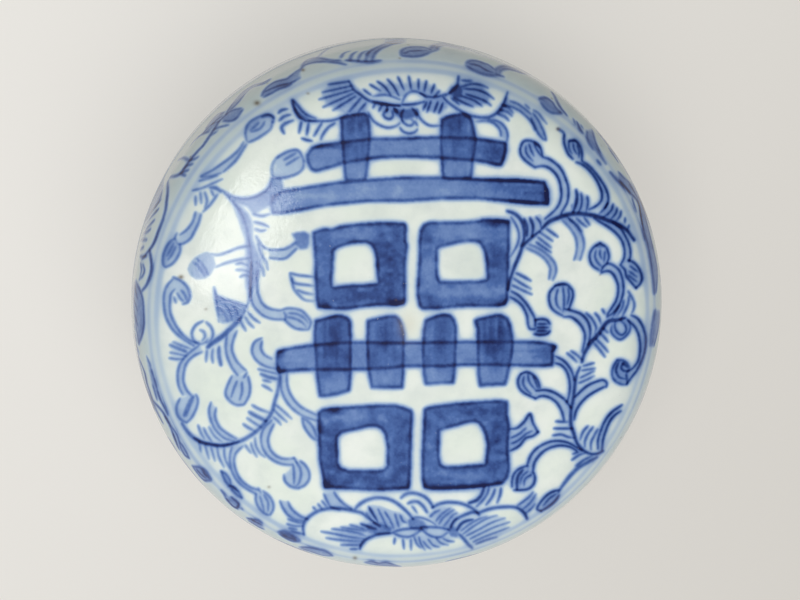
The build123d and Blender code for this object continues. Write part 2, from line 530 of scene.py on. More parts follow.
# Blossoms and buds: pale washes, which the strokes go over
top.fills(0.1, """
0.2: 322,93 330,84 349,80 360,92 370,101 366,112 352,116 338,110 326,103
0.85: 291,100 296,108 303,115 312,120 322,122 310,121.5 300,118 294,110
0.2: 376,97 381,86 392,83 400,85 412,83 424,83 434,87 440,92 430,96 420,93 410,93 404,97 392,94
0.25: 424,98 446,96 448,107 440,114 430,111 422,107
0.3: 455,87 468,81 480,84 491,97 486,103 472,107 460,104 453,97
0.18: 380,104 386,103 394,106 398,112 392,119 385,117
0.14: 335,533 352,526 368,527 378,531 370,538 362,547 345,545 338,538
0.16: 366,513 372,505 382,507 392,511 402,514 408,520 398,528 386,530 378,520
0.16: 428,515 440,507 452,508 458,514 456,524 446,530 436,524
0.05: 458,529 480,516 500,516 508,520 506,528 496,540 474,544 466,538
0.14: 414,535 450,537 448,543 436,548 424,548 416,543
0.2: 517,506 525,499 533,491 537,499 535,505 526,514 521,509
0.2: 576,192 590,198 590,211 574,212
0.16: 600,212 614,204 622,212 612,220
0.16: 528,222 540,214 545,222 536,236
0.12: 613,322 616,333 621,337 627,333 629,325 625,320
0.3: 535,320 543,318 549,321 551,327 549,333 542,335 535,334
0.25: 613,365 617,360 626,361 630,367 628,380 621,384 614,380
""")

# Half blossom above the ornament
top.lines(2.8, 1.0, """
292,100 295,110 299,117 305,120.5
293,100 298,106 303,112 309,116 316,118.5
349,81 354,89.7 361,95 368,100 378,103 390,105 400,106
458.5,76.4 457.4,84.6 452,91 445,96
443,97 449,103 457.4,109 466.7,114.4 477,117 488,117.4 496.4,113.3 501.5,107 504.6,101 507.7,92
""")
top.lines(2.2, 1.0, """
305,121 312,121 325,121 332,120.5 340,118 348,114.4
348.7,81.5 328,84.6
351,86 322.6,92.3
353,89.7 319,99.5
354,93 323,107.2
356,96 333,110.3
361,98 348.7,112.3
366,103 358,112.3
301.5,121.5 299,133
308.7,122.6 306.7,135
322,122.6 314,136
335,123 328,127.7 322,136 321,140
302,138.5 307,140 312,141
461.5,80.5 472,81
461.5,86.7 472,84 481,85 488,88
463.6,88.7 476,89.7 486,93.3 494,99
465.6,94 476,97.4 485,101 491,105.6
461.5,96 474,100.5 482,106
454,98 464.6,103 473,106.7
451,98 459.5,104.6
""")
top.lines(2.8, 0.9, """
278.5,113 282,110 287.7,109
279.5,120.5 284,116.4 290.3,114.6
284,133.3 281.5,127.7 285,123.6 293.3,120.3
""")
top.lines(2.0, 1.1, """
363.6,89.7 371.3,95.4
370,84.6 380.5,90.8
377.4,81.5 384.6,86.7 390.8,95
387.7,79.5 393.8,86.7 399,96
398,77 404,90
408.7,76.4 411.3,89.7
418.5,79.5 418.5,90
426.5,81 424,92
434.4,84.6 430.8,94
439.5,91 434,97
""")
top.washed(2.0, 0.78, 0.0, """
373,96.4 381.5,95 388.7,95.4 400,99.5 | 373,101 388.7,104 400,106
402,103 406,95 413,91.3 420.5,93.3 427,98 | 402,104.5 412,104 425,101.5
""")
top.lines(2.4, 1.1, """
375,104 373,108
382,105 379,111
387,105 387,112
388,109 385,112 383.5,115 386,118 390,119 393,116 392,111
394,108 398,113
420,93 426,96 432,97 438,96.5 446,94
427,102 423,110
431,101 427,112
438,102 434,112
443,103 439,113
""")
top.lines(2.1, 0.9, """
368,112 373,120.5 380.5,125.6 388.7,127.7 397,125.6 400,122.6
417,113 422,120.5 430,125.6 441,125.6
401,119 403,122 408,125.5 412,125 414,122 411,119
415,121 417.5,126
400,127.5 403,131.5 409,133.5 415,132 417.5,129
412,108 416,113 417,119
404,109 401,115 403,121
""")
top.fills(0.2, """
0.75: 392,108 398,108.5 404,110 412,108.5 418,109 419,114 413,117.5 406,119.5 399,117 394,113
0.75: 452,87 459,84 463,90 461,98 453,98 449,93
0.5: 496,114 503,105 506,96 508,98 506,107 500,115
""")
top.lines(3.0, 0.75, """
502.6,105 508.7,108 512.8,113
500.5,110 507.7,112 512,116
498.5,114.4 504.6,116.4 508.7,120.5
""")
top.washed(2.0, 0.8, 0.2, """
488,119 498.5,121.5 504.6,126.7 507.7,134 507,141 | 476,121.5 487,121 494.4,123.6 500,130 501,136
510,101 518,104 525,109 531,114 | 503,105 512,107 520,111 527,117 532,123 535,130
533,113 538,120 543,130 546,139 | 531,118 535,126 538,133 543,139 546,140
""")
top.lines(2.0, 0.65, """
372,102.5 382,104.5 392,105.5 400,105 410,105 418,104 424,102
525,104.5 530,109
533,110 538,113 542,118 547,124
""")

# Half blossom below the ornament
top.lines(2.8, 0.8, """
304,535 303,528 305,521 310,516 317,511.5 325,509 335,508 345,509 354,511 362,513 368,518 374,522.5 \
    380,526
355,509 360,504 367,500 375,498 383,498 391,500 398,504 404,509 409,514 413,519
432,508 438,504.5 446,502.5 455,502.5 463,504 470,507 476,511 479,515
451,527 454,521 460,517 467,514 473,512 478,513 486,510 494,508 503,507 513,507 520,509 525,514 527,519
459,534 464,539 468,544 472,548
408,503.5 413,501.5 418,502 423,506 427,512
401,498 405,494.5 411,493 418,494 425,497 430,502 433,507
""", taper=0.8)
top.lines(1.6, 0.8, """
350,525 359,527.5 368,530
341,527.5 352,529 366,531
332,529 345,530.5 358,533 366,536
321,531.5 335,534 350,537 364,539
326,538 340,540 354,541 362,541
341,545 360,545
350,549 358,549
366,513 371,519 376,524
378,509 382,517 387,527
385,512 390,520 394,529
395,514 397,521 399,527
400,515 403,521 407,523
430,517 434,513 440,510
436,521 441,515 446,511 450,508.5
439,524 443,518 449,513 454,510
444,526 449,520 453,515 457,513
450,528 453,522 458,518
412,506 415,510 417,513
415,517 422,518 430,521 436,525
""")
top.lines(1.25, 0.85, """
461,531 470,524 479,519 487,516.5
463,534 474,526 486,519 497,515.5
466,536 478,530 491,523 505,518
470,539 482,533 495,527 510,522
473,542 484,537 497,532 509,527.5
476,544 486,540 497,537
""")
top.lines(2.6, 1.1, """
361,524 369,527 376,529
369,507 373,514 378,522
457,530 461,524 466,521 473,519.5
360,549 361,545 365,540 371,537 378,534.5 392,533
""")
top.fills(0.2, """
0.6: 366,525 374,522 384,524 392,528 390,534 378,535 369,532
0.55: 408,521 414,517 424,522 428,529 418,531 410,528
0.6: 447,529 453,526 458,530 458,537 451,536
""")
top.lines(3.4, 0.5, """
527,518 523,512 517,508
""")
top.washed(2.2, 0.75, 0.08, """
393,532 402,529.5 412,528.5 421,528 | 393,533 400,536 408,537 414,535 421,530
421,527 432,527 442,528 450,530 | 421,528 427,534 434,537 441,537 447,533
""")
top.lines(1.7, 0.85, """
395,538 394,544
403,539 404,549
411,539 411,550
414,537 417,544 421,548
419,537 421,544 425,550
423,541 427,546 431,549
428,539 433,545 439,547
436,538 441,543 448,545
443,538.5 448,541 454,541.5
517,506 524,501 530,496 533,492
523,509 529,504 533,499 536,494
526,513 531,509 535,504
288,519 296,522 303,523
287,524 295,526 303,526
289,528 297,529.5
291,531 298,533 304,534
313,507 316,510
318,504 322,509
322,501 327,507
""")
top.washed(2.0, 0.68, 0.16, """
288,502 291,508 296,513 302,517 308,519 | 280,501 283,508 288,515 295,519.5 303,521
324,494 327,501 331,507 340,510 | 334,492 338,498 344,504 352,509
""")

# Right side: scrolling stems, buds and feathered leaves, in heavier ink: partly the painter's darker
# strokes, partly painted shade where the right of the lid lies in shadow
top.washed(2.3, 1.18, 0.12, """
520,149 523,142 529,140.5 535.4,143 540.5,148 542.6,156.4 | 520,149 521,155 525,160 530,164 535,167.5
543,157 549,159 555,163 561,169 565,177 568,186 568.5,195 567,203 563,210 561,214 | 536,167 543,166 \
    549,168 555,173 559,180 561,189 561,198 558,206 553,212 545,219
564,135 564,142 566,149 569,155 573,159 | 569,141 575,140.5 580,146 582,153 582,160
582,161 588,165 594,171 600,179 605,187 608,195 608,202 605,208 | 576,162 583,165 590,171 596,179 \
    600,187 602,194 601,201 596,206 589,209.5
594,218 600,222 607,226 616,233 622,241 624.5,250 624,258 621,264 | 613,222 621,229 627,239 630,248 \
    630.5,256 629,261
628,260 633,262 638,267 641,273 642,279 640,284 636,288 | 620,265 625,270 626,276 631,282 636,288
600,243 606,247 608,252 609,257 607,263 | 600,243 594,247 590,253 590,260 593,266 599,270
601,271 604,266 608,263.5 613,265 619,270 622,277 623.5,287 622.5,296 619,305 613,313 607,317 | \
    601,273 606,271 611,272 615,277 618,285 618,293 616,301 611,309 607,315
631,315 637,318 641,323 644,330 646,339 645,350 642,360 637,370 631,378 627,384 | 628,320 634,326 \
    638,333 640,342 640,352 638,361 633,368 627,372
511,291 518,295 525,302 531,311 535,319 535,326 | 510,297 517,301 523,307 527,316 528,324 530,329 \
    535,329
535,320 541,319 547,320 550,324 | 534,334 540,335 547,334 550,331
555,286 550,292 549,299 551,307 556,312 563,316 | 555,286 561,284 567,284.5 572,290 573,296 571,303 \
    569,309
565,309 573,311 581,314 587,320 590,328 590,337 588,345 | 564,317 571,317 577,321 582,327 585,335 \
    584,344 582,352
555,356 561,359 567,364 572,372 574,380 | 555,363 561,365 566,370 569,378 570,387 569,396 567,402
521,374 518,380 519,387 523,392 530,396 535,398 | 521,374 527,372 533,375 538,381 540,388
536,391 545,390 553,392 560,396 566,401 571,408 | 535,399 541,396 548,397 555,401 559,406 562,412 \
    564,420
575,397 580,392 587,386 595,382 603,380 607,383 606,387 | 574,420 576,411 581,403 588,396 596,391 \
    604,387
622,405 616,409 610,414 605,421 601,430 598,440 598,449 | 621,411 615,415 610,421 606,430 603,440 \
    602,450
527,466 530,457 535,450 542,445 551,441.5 560,441 569,443 576,447 582,451 | 533,473 534,464 538,457 \
    544,451 552,447 561,445.5 570,447 577,451
526,466 519,469 514,474 512,481 512,487 | 534,473 535,479 533,485 528,489 521,490 514,490
559,490 552,492 546,496 540,503 537,509 541,511 | 559,495 555,501 548,507 541,511
510,429 517,428 524,422 530,414 533,423 538,432 | 510,451 519,446 526,438 533,436 538,432
""")
top.washed(1.9, 0.62, 0.16, """
562,220 569,227 575,236 577,245 576,254 574,260 | 567,217 575,225 582,235 584,245 582,254 580,260
526,248 537,253 545,259 550,267 550,272 549,279 | 529,244 540,249 549,256 555,264 556,272 553,280
""")
top.washed(2.0, 0.92, 0.2, """
612,325 611,331 614,336 620,339.5 626,336 630,330 630,324 627,319 | 615,322 615,328 618,333 622,335 \
    626,331 625,325 620,320
617,360 613,367 612,374 614,380 620,384 626,384.5 | 617,360 622,360 627,363 630,368
""")
top.lines(4.0, 1.3, """
541.5,229.4 549,221.7 559,217.4 568.5,214.5 578,213.6 588,214.5 597,216.4 607,220 616.5,223.7 \
    626,229.4 634,240
625,318 617,320 609,321 604,326 600,332 596,337 592,341 588,347 584,354 582,362
""", taper=0.7)
top.lines(3.4, 0.8, """
597,457 588,462 578,468 570,476 563,485 558,493
""")
top.lines(3.2, 1.15, """
540,231 530,239 523,246 519,256 514,268 510,280 508,290
580,367 576,377 574.5,388 573,400 571,412 571,425 574,434 577,443 582,449 589,453.5 596,454 603,451
507,211 515,214 521,220 524,229 524,239 521,246
524,219 527,227 527,236
530,218 533,226 532,236
576,190 577,196 576,204 573,212
523,470 518,476 517,483 517,489
484,487 482,494 477,500 469,503
""", taper=0.7)
top.lines(2.2, 0.95, """
526,146 526,152 529,157 533,161
529,144 531,150 534,156
534,144 537,150 541,156
569,141 569,148 572,154
573,143 574,149 577,154
577,145 579,151 579,157
558,129 563,132 565,136
581,193 582,199 581,207 578,213
587,196 588,202 587,208 586,212
613,204 612,209 608,214 603,217
617,208 616,213 611,219
621,211 620,216 616,221
625,218 625,223
629,225 628,229
608,203 604,209 599,214
630,266 638,272
629,271 637,277
628,275 637,282
596,250 595,257 598,263 602,267
600,250 600,255 602,259
605,251 604,262
628,291 631,296 634,302 634,308 632,313
629,296 628,304 624,313 621,319
624,300 622,308 617,316
620,305 616,312 612,318
602,309 605,314
622,363 625,365 628,368
619,362 616,370 619,377 625,379
624,363 621,367 624,371 629,370
626,374 627,379 627,384
603,328 608,333
600,333 605,338 608,342
596,339 602,345 608,352
594,343 600,350 605,357
568.5,218 576,224 582,232
576,218 584,225 587,226.5
584,217 589.6,225
546,228.5 558,237
539.6,232 552.6,241
537.7,237 551,247.7
536,242 551,252.5
511,217 516,225 519,234 518,243 514,251 510,257
536,217 540,222 541,227
516,273 524,277 531,281
513,278 522,284 531,289
512,285 522,290 532,294.5
538,324 547,324
537,327.5 548,327.5
537,331 547,331
558,289 556,297 557,305 561,310
563,287 564,296 564,305 563,312
568,288 569,296 567,305
586,313 592,319 596,327 595,334
595,313 599,318 601,324
567,353 572,357 577,362
571,351 577,355 582,360
524,376 523,383 526,389 531,394
528,374 529,381 533,387 536,390
533,377 536,383 538,389
556,421.5 568,422
553,435.5 561,434.5 568,437 574,438
583,366 594,363
582,370.5 595,368.5
580,378 594,371
579,383 586,380 594,376
588,426 583,432 580,440
593,427 588,434 585,441 585,447
598,429 594,436 591,443 591,450
528,471 522,477 520,484
531,475 525,479 524,486
511,438 519,434 526,428
511,444 519,440 526,434 532,431
489,487 487,494 482,501 476,507
495,489 492,497 486,505
501,488 500,495 497,503
556,494 549,499 543,506
572,460 579,455 585,453
573,454 579,452
576,466 584,460 592,456
554,428.5 573,428.5
""")
top.lines(3.6, 0.5, """
572,205 572,208
528,466 528,469
531,472 531,475
535,142 540,147
570,141 575,141
556,285 566,285
596,246 604,246
""")

# Left side, where the ink is paler: partly the painter's lighter ink, partly a painted highlight where the
# window's reflection veils the strokes
top.washed(2.0, 0.62, 0.12, """
284,475 285,481 290,486 296,488 299,488 | 300,461 305,465 309,472 309,479 305,485 299,488
272,420 264,428 261,437 262,446 266,454 273,460 282,464 292,465 | 274,424 270,432 268,440 270,449 \
    275,455 282,458.5 290,459 294,458
256,494 256,501 259,508 264,513 268,515 | 263,491 269,496 273,503 273,510 270,515
232,447 230,455 230,464 233,474 239,483 247,489 256,494 | 243,446 236,453 234,461 236,471 241,480 \
    249,486.5 258,490
211,402 209,411 211,420.6 215.6,430 224,438 234,441 | 216,408 215,416.7 219.4,427 228,434 236.7,439
180,398.5 176.6,406 177,414 181,419.6 186,422.5 | 196,394.6 198,400 196,409 191.5,417.7 186.7,422.5
199,345.6 191.5,351 184,358 179,366.7 177.6,377 179,387 183,394.6 | 202,352 193.5,356 186.7,363 \
    184,371.5 183.4,381 186.7,390 191.5,395.6
173,279 167,286 164,295 164,306 166,317 171,327 178,335 186,341 194,346 | 175,289 171,294 170,302 \
    170,311 173,320 178,329 184,336 191,341 199,343
173,277 181,281 187,287 190,295 188,302 183,304 | 177,293 180,298 183,301
227,335 225.7,345.6 227,356 232,367.7 237.7,375.4 | 236.7,331 233,341 232,350 236,360 241.5,366.7 \
    246,370.6
232,376 227,387 225.7,394.6 230,401 236.7,405 243.5,404.7 | 248,376 250,386 249,395.6 244.4,404
262,338 255,341.7 252,349.4 254,357 261,364 269.4,367.7 278,369 | 262,341 261,348.5 264.6,355 272,359
287,373 287,382 289,391 294,400 301,407 310,412 317,415 | 281,376 281,388 284,397 290,406 298,413 \
    308,418 318,421
302,417 304,426 309,434 314,439 318,440 | 303,418 309,422 314,429 317,437
245.6,133 246,128.5 250.4,121.7 260,116.4 268.7,114.5 274,118 | 248.5,142.4 256,139 264,134 \
    270.6,128.5 272.5,121.7
243.7,142 239,149.6 231,157 221.5,164 211,171 201,176 | 246.5,144 241.7,151.5 236,160 229,167 \
    223.5,171.7
195.6,212 192.7,221.7 187,229.4 180,235 | 201,214 198.5,222.7 194.6,231 190,239 182,244 178,244
175,238 169,243 165,250 163,257 163,264 165,267 | 180,244 180,251 177,258 172,264 166,267
277,158 283,154 290,151 297,150 301,154 304,161 | 274,178 282,178 291,176 298,173 303,168 304,161
251,262 250,275 250,290 252,302 257,310 264,316 273,319 283,319.5 | 258,270 257,282 258,293 262,303 \
    268,308 275,310 281,310.5
282,310 287,308.5 295,309 302,311 307,316 311,322 309,329 | 284,319 289,324 295,328 302,329.5 308,329.5
296,242 291,246 285,249 278,250 270,250 | 297,248 292,253 286,258 279,259 270,258
""")
top.fills(0.3, """
0.55: 292,234 298,233 304,232 309,235 309,242 307,248 301,249 296,244 296,239
""")
# painted highlight: these buds and stems lie under the window's reflection, and their ink is painted pale
top.fills(0.4, """
0.2: 190,264 195,258 202,254 208,252 213,257 215,265 211,273 205,278 197,279 191,275 188,269
0.3: 232,200 240,206 248,214 252,224 252,240 256,250 262,262 256,280 250,300 246,285 247,262 246,240 \
    240,222
0.32: 214,287 217,296 226,300 237,303 247,306 243,316 234,321 222,323 218,314 216,300
""")
top.fills(0.5, """
0.3: 272,178 281,178 283,190 275,202 262,209 254,214 248,206 238,203 230,198 223,190 233,196 245,198 \
    258,195 267,189
""")
# painted highlight: these strokes under the window's reflection are painted pale
top.lines(2.2, 0.5, """
273,177 272,168 275,160 279,156
249,246 238,248 228,252 218,255 211,254
250,258 238,260 226,263 216,267
193,262 199,267 205,276
197,259 203,265 208,275
222,190 231,200 240,211 246,226 249,240 251,255 252,270 251,286 249,300 245,311 239,320
272,178 269,188 258,196 245,199 232,197
253,214 262,216 270,214
254,222 262,224 269,227
255,229 261,231 266,230
256,236 262,246 270,250
258,244 262,256 266,262 268,270
256,262 262,268 264,276
236,264 242,263 248,266
236,270 243,270 249,272
240,277 245,275 250,277
214,287 216,300 218,312 219,322
217,296 226,300 237,303 247,306
224,303 230,312 232,320
232,305 237,312 238,318
220,308 226,316 228,322
""")
top.lines(4.4, 0.75, """
241,318 236,323 230,329 224,335 217,340 211,344 208,347
""", taper=0.8)
top.lines(4.4, 0.6, """
193,397 189,405 185,415
""", taper=0.9)
top.lines(2.8, 0.85, """
194,438 203,442.7 212,444.6 221,445.6 231,444 239,441.5
""")
top.lines(3.2, 0.68, """
182,423.5 188,432 195.4,439 203,442.7 212,444.6 221,445.6 231,444 240.6,441 250,436 259,429 \
    266.5,420.6 272,412 275,400.4 278,390 280,373
262,117 268,115 273,117 273,122
210,187.6 216,188 220.6,191.4
261,374 268,377 277,379
249,412 256,416 266,421
219,347 219,355 221,365
170,345 177,348 186,351.5
""", taper=0.8)
top.lines(2.1, 0.58, """
293,464 294,472 294,484
296,462 300,468 301,475 299,483 296,486
294,458 297,463
255,438 256,446 260,453 265,457
251,443 253,450 257,457
245,445 251,453
260,496 262,503 264,511
264,495 268,502 268,511
258,488 261,493
198,425 201,433 204.5,439
203.5,428 207,435 212,441.7
209,427 214.6,436 222,441.7
199,441 201,452
205,445 209,459
211,447 215,461
217,447 219,457 224,467
224,447 225,458 230,469
203,321 196,325 192,332 193,339 198,344 204,343 208,339
206,322 211,327 213,334 211,340 206,343
200,330 204,332 205,337 202,341
181,290 185,295 187,301
174,297 176,303
173,342 180,345 191,349
170,352.5 178,354 186,356
169,358 176,359 184,359
207,350 206,362
213,349 212,356 213,363
247,372.5 243.5,378
237,381 233.4,390 231,397.5
242,382 242,392 239.6,400
258,369 266,371 278,374
263,380 271,382
262,385 268,388 272,391
276,405 283,411 292,419
274,410 280,416 287,422
273,417 278,421 281,425
252,405 259,409 270,413
247,418 253,422 262,428
243,424 249,428 255,431
259,122.7 250.4,130.4
264.8,121.7 260,128.5 251,132
245,133 247,142
201,177 211,176 221.5,172.7
199,181 208,178.5 217.7,175.6
192.7,190.5 200.4,188.6 206,186.6 215,182.3 222.5,179
195.6,196 195.6,205.4
200.4,192 201.3,203.5
204.7,192 207,200.6 205,208
211,190 214,196
217.7,194 211,203.5 203,212
177,233 175,238 177,243
174,243 171,249 167,256
176,246 172,254 168,260
284,160 296,153
286,165 299,157
284,312 286,316 285,320
289,313 297,314 304,318 308,323
288,317 296,319 303,323 306,327
290,273 297,275 305,276 314,277
292,278 293,282 298,284 306,285 314,286
290,274 292,281 294,289 299,295 305,300 314,301
297,290 305,293 314,294.5
248,312 253,318 260,323
245,317 249,323 254,328
240,320 243,326 246,331
""")

# Shoulder of the lid, across the rings: on this painting and on the wall's
SHOULDER_WASHED = """
222,119 228,113 234,110 241,108.5 | 223,121 230,121 236,119 240,114 243,110
190,146 195,140 202,134.5 209,132 | 203,134 207,128.5 213,124 220,121
206,128 211,121 217,115 224,113 | 212,125 217,120 222,117
226,115 229,109 235,101 239,96 244,91 252,86 262,83 270,79 | 231,110 237,104 241,99 248,91 256,86 \
    264,84 270,80
262,96 264,91 268,87 274,83 280,80.5 287,79 293,74 299,70 | 264,97 272,93 280,89 288,86 295,81 300,78
302,66 309,59 318,58 328,60 340,61 | 300,72 304,66 313,63 325,62 335,63 346,65
366,55 372,50 380,46 390,42 398,40 | 372,61 375,54 381,49 389,45.5 397,43
386,40 392,38.5 400,39 405,40 | 386,42 390,43.5 398,43.5 404,42
401,55 402,51 407,48 415,47 424,47.5 430,49.5 | 401,56 407,57 415,57 424,55 431,52
430,50 433,46 438,44 446,44 455,46 464,48 | 432,52 437,50 438,47 446,46 455,48 464,50
466,64 470,61 476,61 483,63 490,66 494,70 | 466,66 473,70 481,73.5 490,75.5 497,75.5
496,75 496,70 500,67 507,66 514,68 522,70 530,72 | 499,75 501,70.5 507,69 514,70.5 522,73 530,75
539,99 546,98 552,102 556,108 561,113 | 541,103 546,109 553,113 561,113
587,131 587,137 589,143 593,149 | 592,130 594,138 597,147 601,156 606,164
618,172 624,178 630,184 634,192 | 619,180 624,186 630,193
164,180 162,184 155,196 149,208 144,222 | 163,187 161,197 156,206 150,214 145,222
132,288 133,300 134,312 136,325 139,344 | 136,280 140,290 143,300 144,312 144,325 142,336 139,344
147,356 150,364 153,373 156,383 158,392 | 153,385 155,392 157,400
180,442 184,447 187,453 189,458 | 181,448 185,455 189,458
193,466 199,467 205,470 208,474 211,479 | 193,467 198,474 204,480 211,480
221,471 226,474 230,480 231,486 | 221,471 223,476 226,482 230,486
232,485.5 235,488 239,492 242,498 | 231,488 233,491 238,496 242,498
231,497 235,500 239,504 237,508 | 227,499 230,503 233,506 237,508
247,518 252,519 258,520 262,523 | 249,521 254,524 259,527 264,529
278,532 284,531 291,534 300,540 | 280,534 286,538 292,541 300,541
300,547 308,547 318,549 326,551 332,555 | 300,548 312,552 322,555 332,556
365,562 372,561 378,563 386,562 392,564 400,566 | 366,563 378,565 392,566 400,567
629,184 633,190 637,198 640,207 | 633,183 638,190 642,199 643,208
639,206 641,218 645,235 649,252 652,270 654,294 | 643,208 646,220 650,236 654,253 657,270 656,292
655,310 653,320 651,333 650,346 | 659,311 659,322 657,334 654,346
"""
SHOULDER_LONG_LINES = """
203,146 209,138 214,130 219,122 223,117
203,146 198,151 192,158 188,164 182,172 176,176 170,177
168,181 168,190 167,200 166,210 163,220 159,231 154,243 150,250 145,256 142,259
150,250 151,258 152,267 150,277 146,286 142,291
168,170 164,178 160,186 156,193 150,202 146,213 142,225 139,238 137,250 135,262 133,275 132,287
141,362 145,373 147,383 150,392 153,400 158,406 163,412 168,420 172,427 176,433 179,440 181,448
158,392 161,400 165,408 168,415
346,61 362,61.5 372,62 381,60.5
440,42 455,46 470,50 482,55 495,60 510,66 525,73 538,80
300,57 312,52 325,47 340,43 355,42 363,41
447,561 460,558 472,555 485,552
552,92 556,100 560,107 567,116
577,122 580,129 583,133
609,149 614,156 618,162
610,172 617,180 624,187 630,193 636,199 639,206 641,218 643,230 645,240
"""
SHOULDER_SHORT_LINES = """
213,130 221,127 229,125.5
212,135 218,131
199,157 195,159 189,160 183,158 178,160
193,164 187,166 182,170
189,170 184,172 180,174
186,176 181,174
161,200 156,206 151,213 146,220
159,209 154,214 149,220 144,228
155,220 150,225 145,231
151,229 147,232 143,234
147,240 141,240
144,247 140,250
147,256 143,257 140,256
143,264 145,270 143,276 139,280
141,263 141.5,270 140,277
265,92 271,89 279,86 288,84 296,81
341,58 344,53.5 350,51
350,61 352,55 357,51.5
358,61.5 360,56 363,52.5 367,51
366,62 367,56 370,51.5 374,50
404,54 410,51.5 420,51 428,51
470,64 478,66 486,70 493,73
497,75 504,77
318,57 325,51 333,46 340,44
135,283 136,292 138,299
133,292 135,302 138,312
134,308 136,318 138,326
165,416 170,426 174,437 178,447 180,450
172,430 176,440 179,449
197,469 201,474 206,478
202,469 205,474 209,478
228,486 233,487 238,491
221,490 225,495 227,500 231,504 236,508 239,505 236,501 231,497
241,508 243,510
252,520 257,522 262,525
281,533 289,535 296,539
283,535 290,538 296,540
573,119 575,125
581,125 583,129
597,160 601,165
632,198 634,205 636,212
"""


def shoulder_strokes(painting, unit, load, place=as_given):
    """The strokes on the lid's shoulder, for a painting whose millimetre is that many units."""
    painting.washed(0.36 * load * unit, 0.66 * load, 0.28 * load, SHOULDER_WASHED, place)
    painting.lines(0.5 * load * unit, 0.88 * load, SHOULDER_LONG_LINES, place=place)
    painting.lines(0.34 * load * unit, 0.8 * load, SHOULDER_SHORT_LINES, place=place)


shoulder_strokes(top, unit=PIXELS_PER_MM, load=1.0)
top.settle(bleed=0.62, patchy=0.07)

# Walls: the chart's x is the way round, in millimetres at the widest radius, and its y the way down
AROUND = 2 * math.pi * BODY_RADIUS
OVERLAP = 14.0  # mm by which a band's chart runs on past its join, at each end
JOIN = math.radians(-45)  # the way round starts at the lower right, which the picture doesn't show
BAND_CELLS = 8  # to the millimetre
BAND_SOFT = 0.17  # mm

lid_line, lid_outside = lid_profile(SURFACE_STEP, INSIDE_STEP)
lid_down = distance_along(lid_line)
lid_outer = lid_line[:lid_outside]
ring_at = int(np.argmax(lid_outer[:, 0] > OUTER_RING))
ring_down = float(lid_down[ring_at])


def way_round(angle):
    """The chart's x for an angle about the axis of the box."""
    return (angle - JOIN) % (2 * math.pi) * BODY_RADIUS


def on_shoulder(pixels):
    """Where picture pixels lie on the lid's band: the way round, and down from the outer ring."""
    found = []
    for ray in sight_lines(pixels):
        reach = (lid_outer[:, 1] - eye[2]) / ray[2]
        spot = eye[:2] + reach[:, None] * ray[:2]
        gap = np.hypot(spot[:, 0], spot[:, 1]) - lid_outer[:, 0]
        crossing = np.flatnonzero(gap < 0)
        hit = crossing[0] if len(crossing) else int(np.argmin(gap))
        found.append([way_round(math.atan2(spot[hit, 1], spot[hit, 0])), lid_down[hit] - ring_down])
    return np.array(found)


def wall_painting(height):
    """A bare chart of a wall of that height, with room for strokes that run past it."""
    return Painting((-OVERLAP, -1), (AROUND + OVERLAP, height), BAND_CELLS, BAND_SOFT)


def finish_wall(painting):
    """Add what was painted past each end of a wall's chart to its other end, and let the ink settle."""
    edge = round(OVERLAP * painting.cells)
    turn = round(AROUND * painting.cells)
    ink = painting.ink
    ink[:, edge:2 * edge] += ink[:, turn + edge:turn + 2 * edge]
    ink[:, turn:turn + edge] += ink[:, :edge]
    ink[:, turn + edge:turn + 2 * edge] = ink[:, edge:2 * edge]
    ink[:, :edge] = ink[:, turn:turn + edge]
    painting.settle(bleed=0.5, patchy=0.11)


# One length of scrolling border, in parts of its own length across and of the band's height down
SCROLL_VINE = "0,.5 .12,.32 .25,.25 .38,.32 .5,.5 .62,.68 .75,.75 .88,.68 1,.5"
SCROLL_WASHED = """
.43,.40 .42,.58 .36,.72 .27,.74 .22,.66 | .46,.46 .46,.62 .39,.79 .27,.82 .19,.74
.22,.66 .17,.62 .13,.66 .12,.74 | .19,.76 .16,.82 .12,.80 .12,.74
.93,.60 .92,.42 .86,.28 .77,.26 .72,.34 | .96,.54 .96,.38 .89,.21 .77,.18 .69,.26
.72,.34 .67,.38 .63,.34 .62,.26 | .69,.24 .66,.18 .62,.20 .62,.26
.30,.24 .34,.14 .41,.06 .50,.04 | .33,.26 .38,.19 .44,.14 .50,.04
.80,.76 .84,.86 .91,.94 1,.96 | .83,.74 .88,.81 .94,.86 1,.96
"""
SCROLL_LINES = """
.17,.64 .15,.71 .14,.78
.20,.66 .17,.73 .16,.80
.67,.36 .65,.29 .64,.22
.70,.34 .67,.27 .66,.20
.04,.40 .02,.28 .03,.17
.08,.36 .06,.24 .08,.12
.12,.31 .11,.20 .13,.09
.16,.28 .16,.18 .18,.09
.54,.60 .52,.72 .53,.83
.58,.64 .56,.76 .58,.88
.62,.69 .61,.80 .63,.91
.66,.72 .66,.82 .68,.91
.28,.40 .27,.50 .30,.58
.33,.42 .32,.50 .34,.57
.23,.38 .21,.47 .24,.56
.78,.60 .77,.50 .80,.42
.83,.58 .82,.50 .84,.43
.73,.62 .71,.53 .74,.44
.40,.15 .43,.20 .46,.30
.90,.85 .93,.80 .96,.70
"""


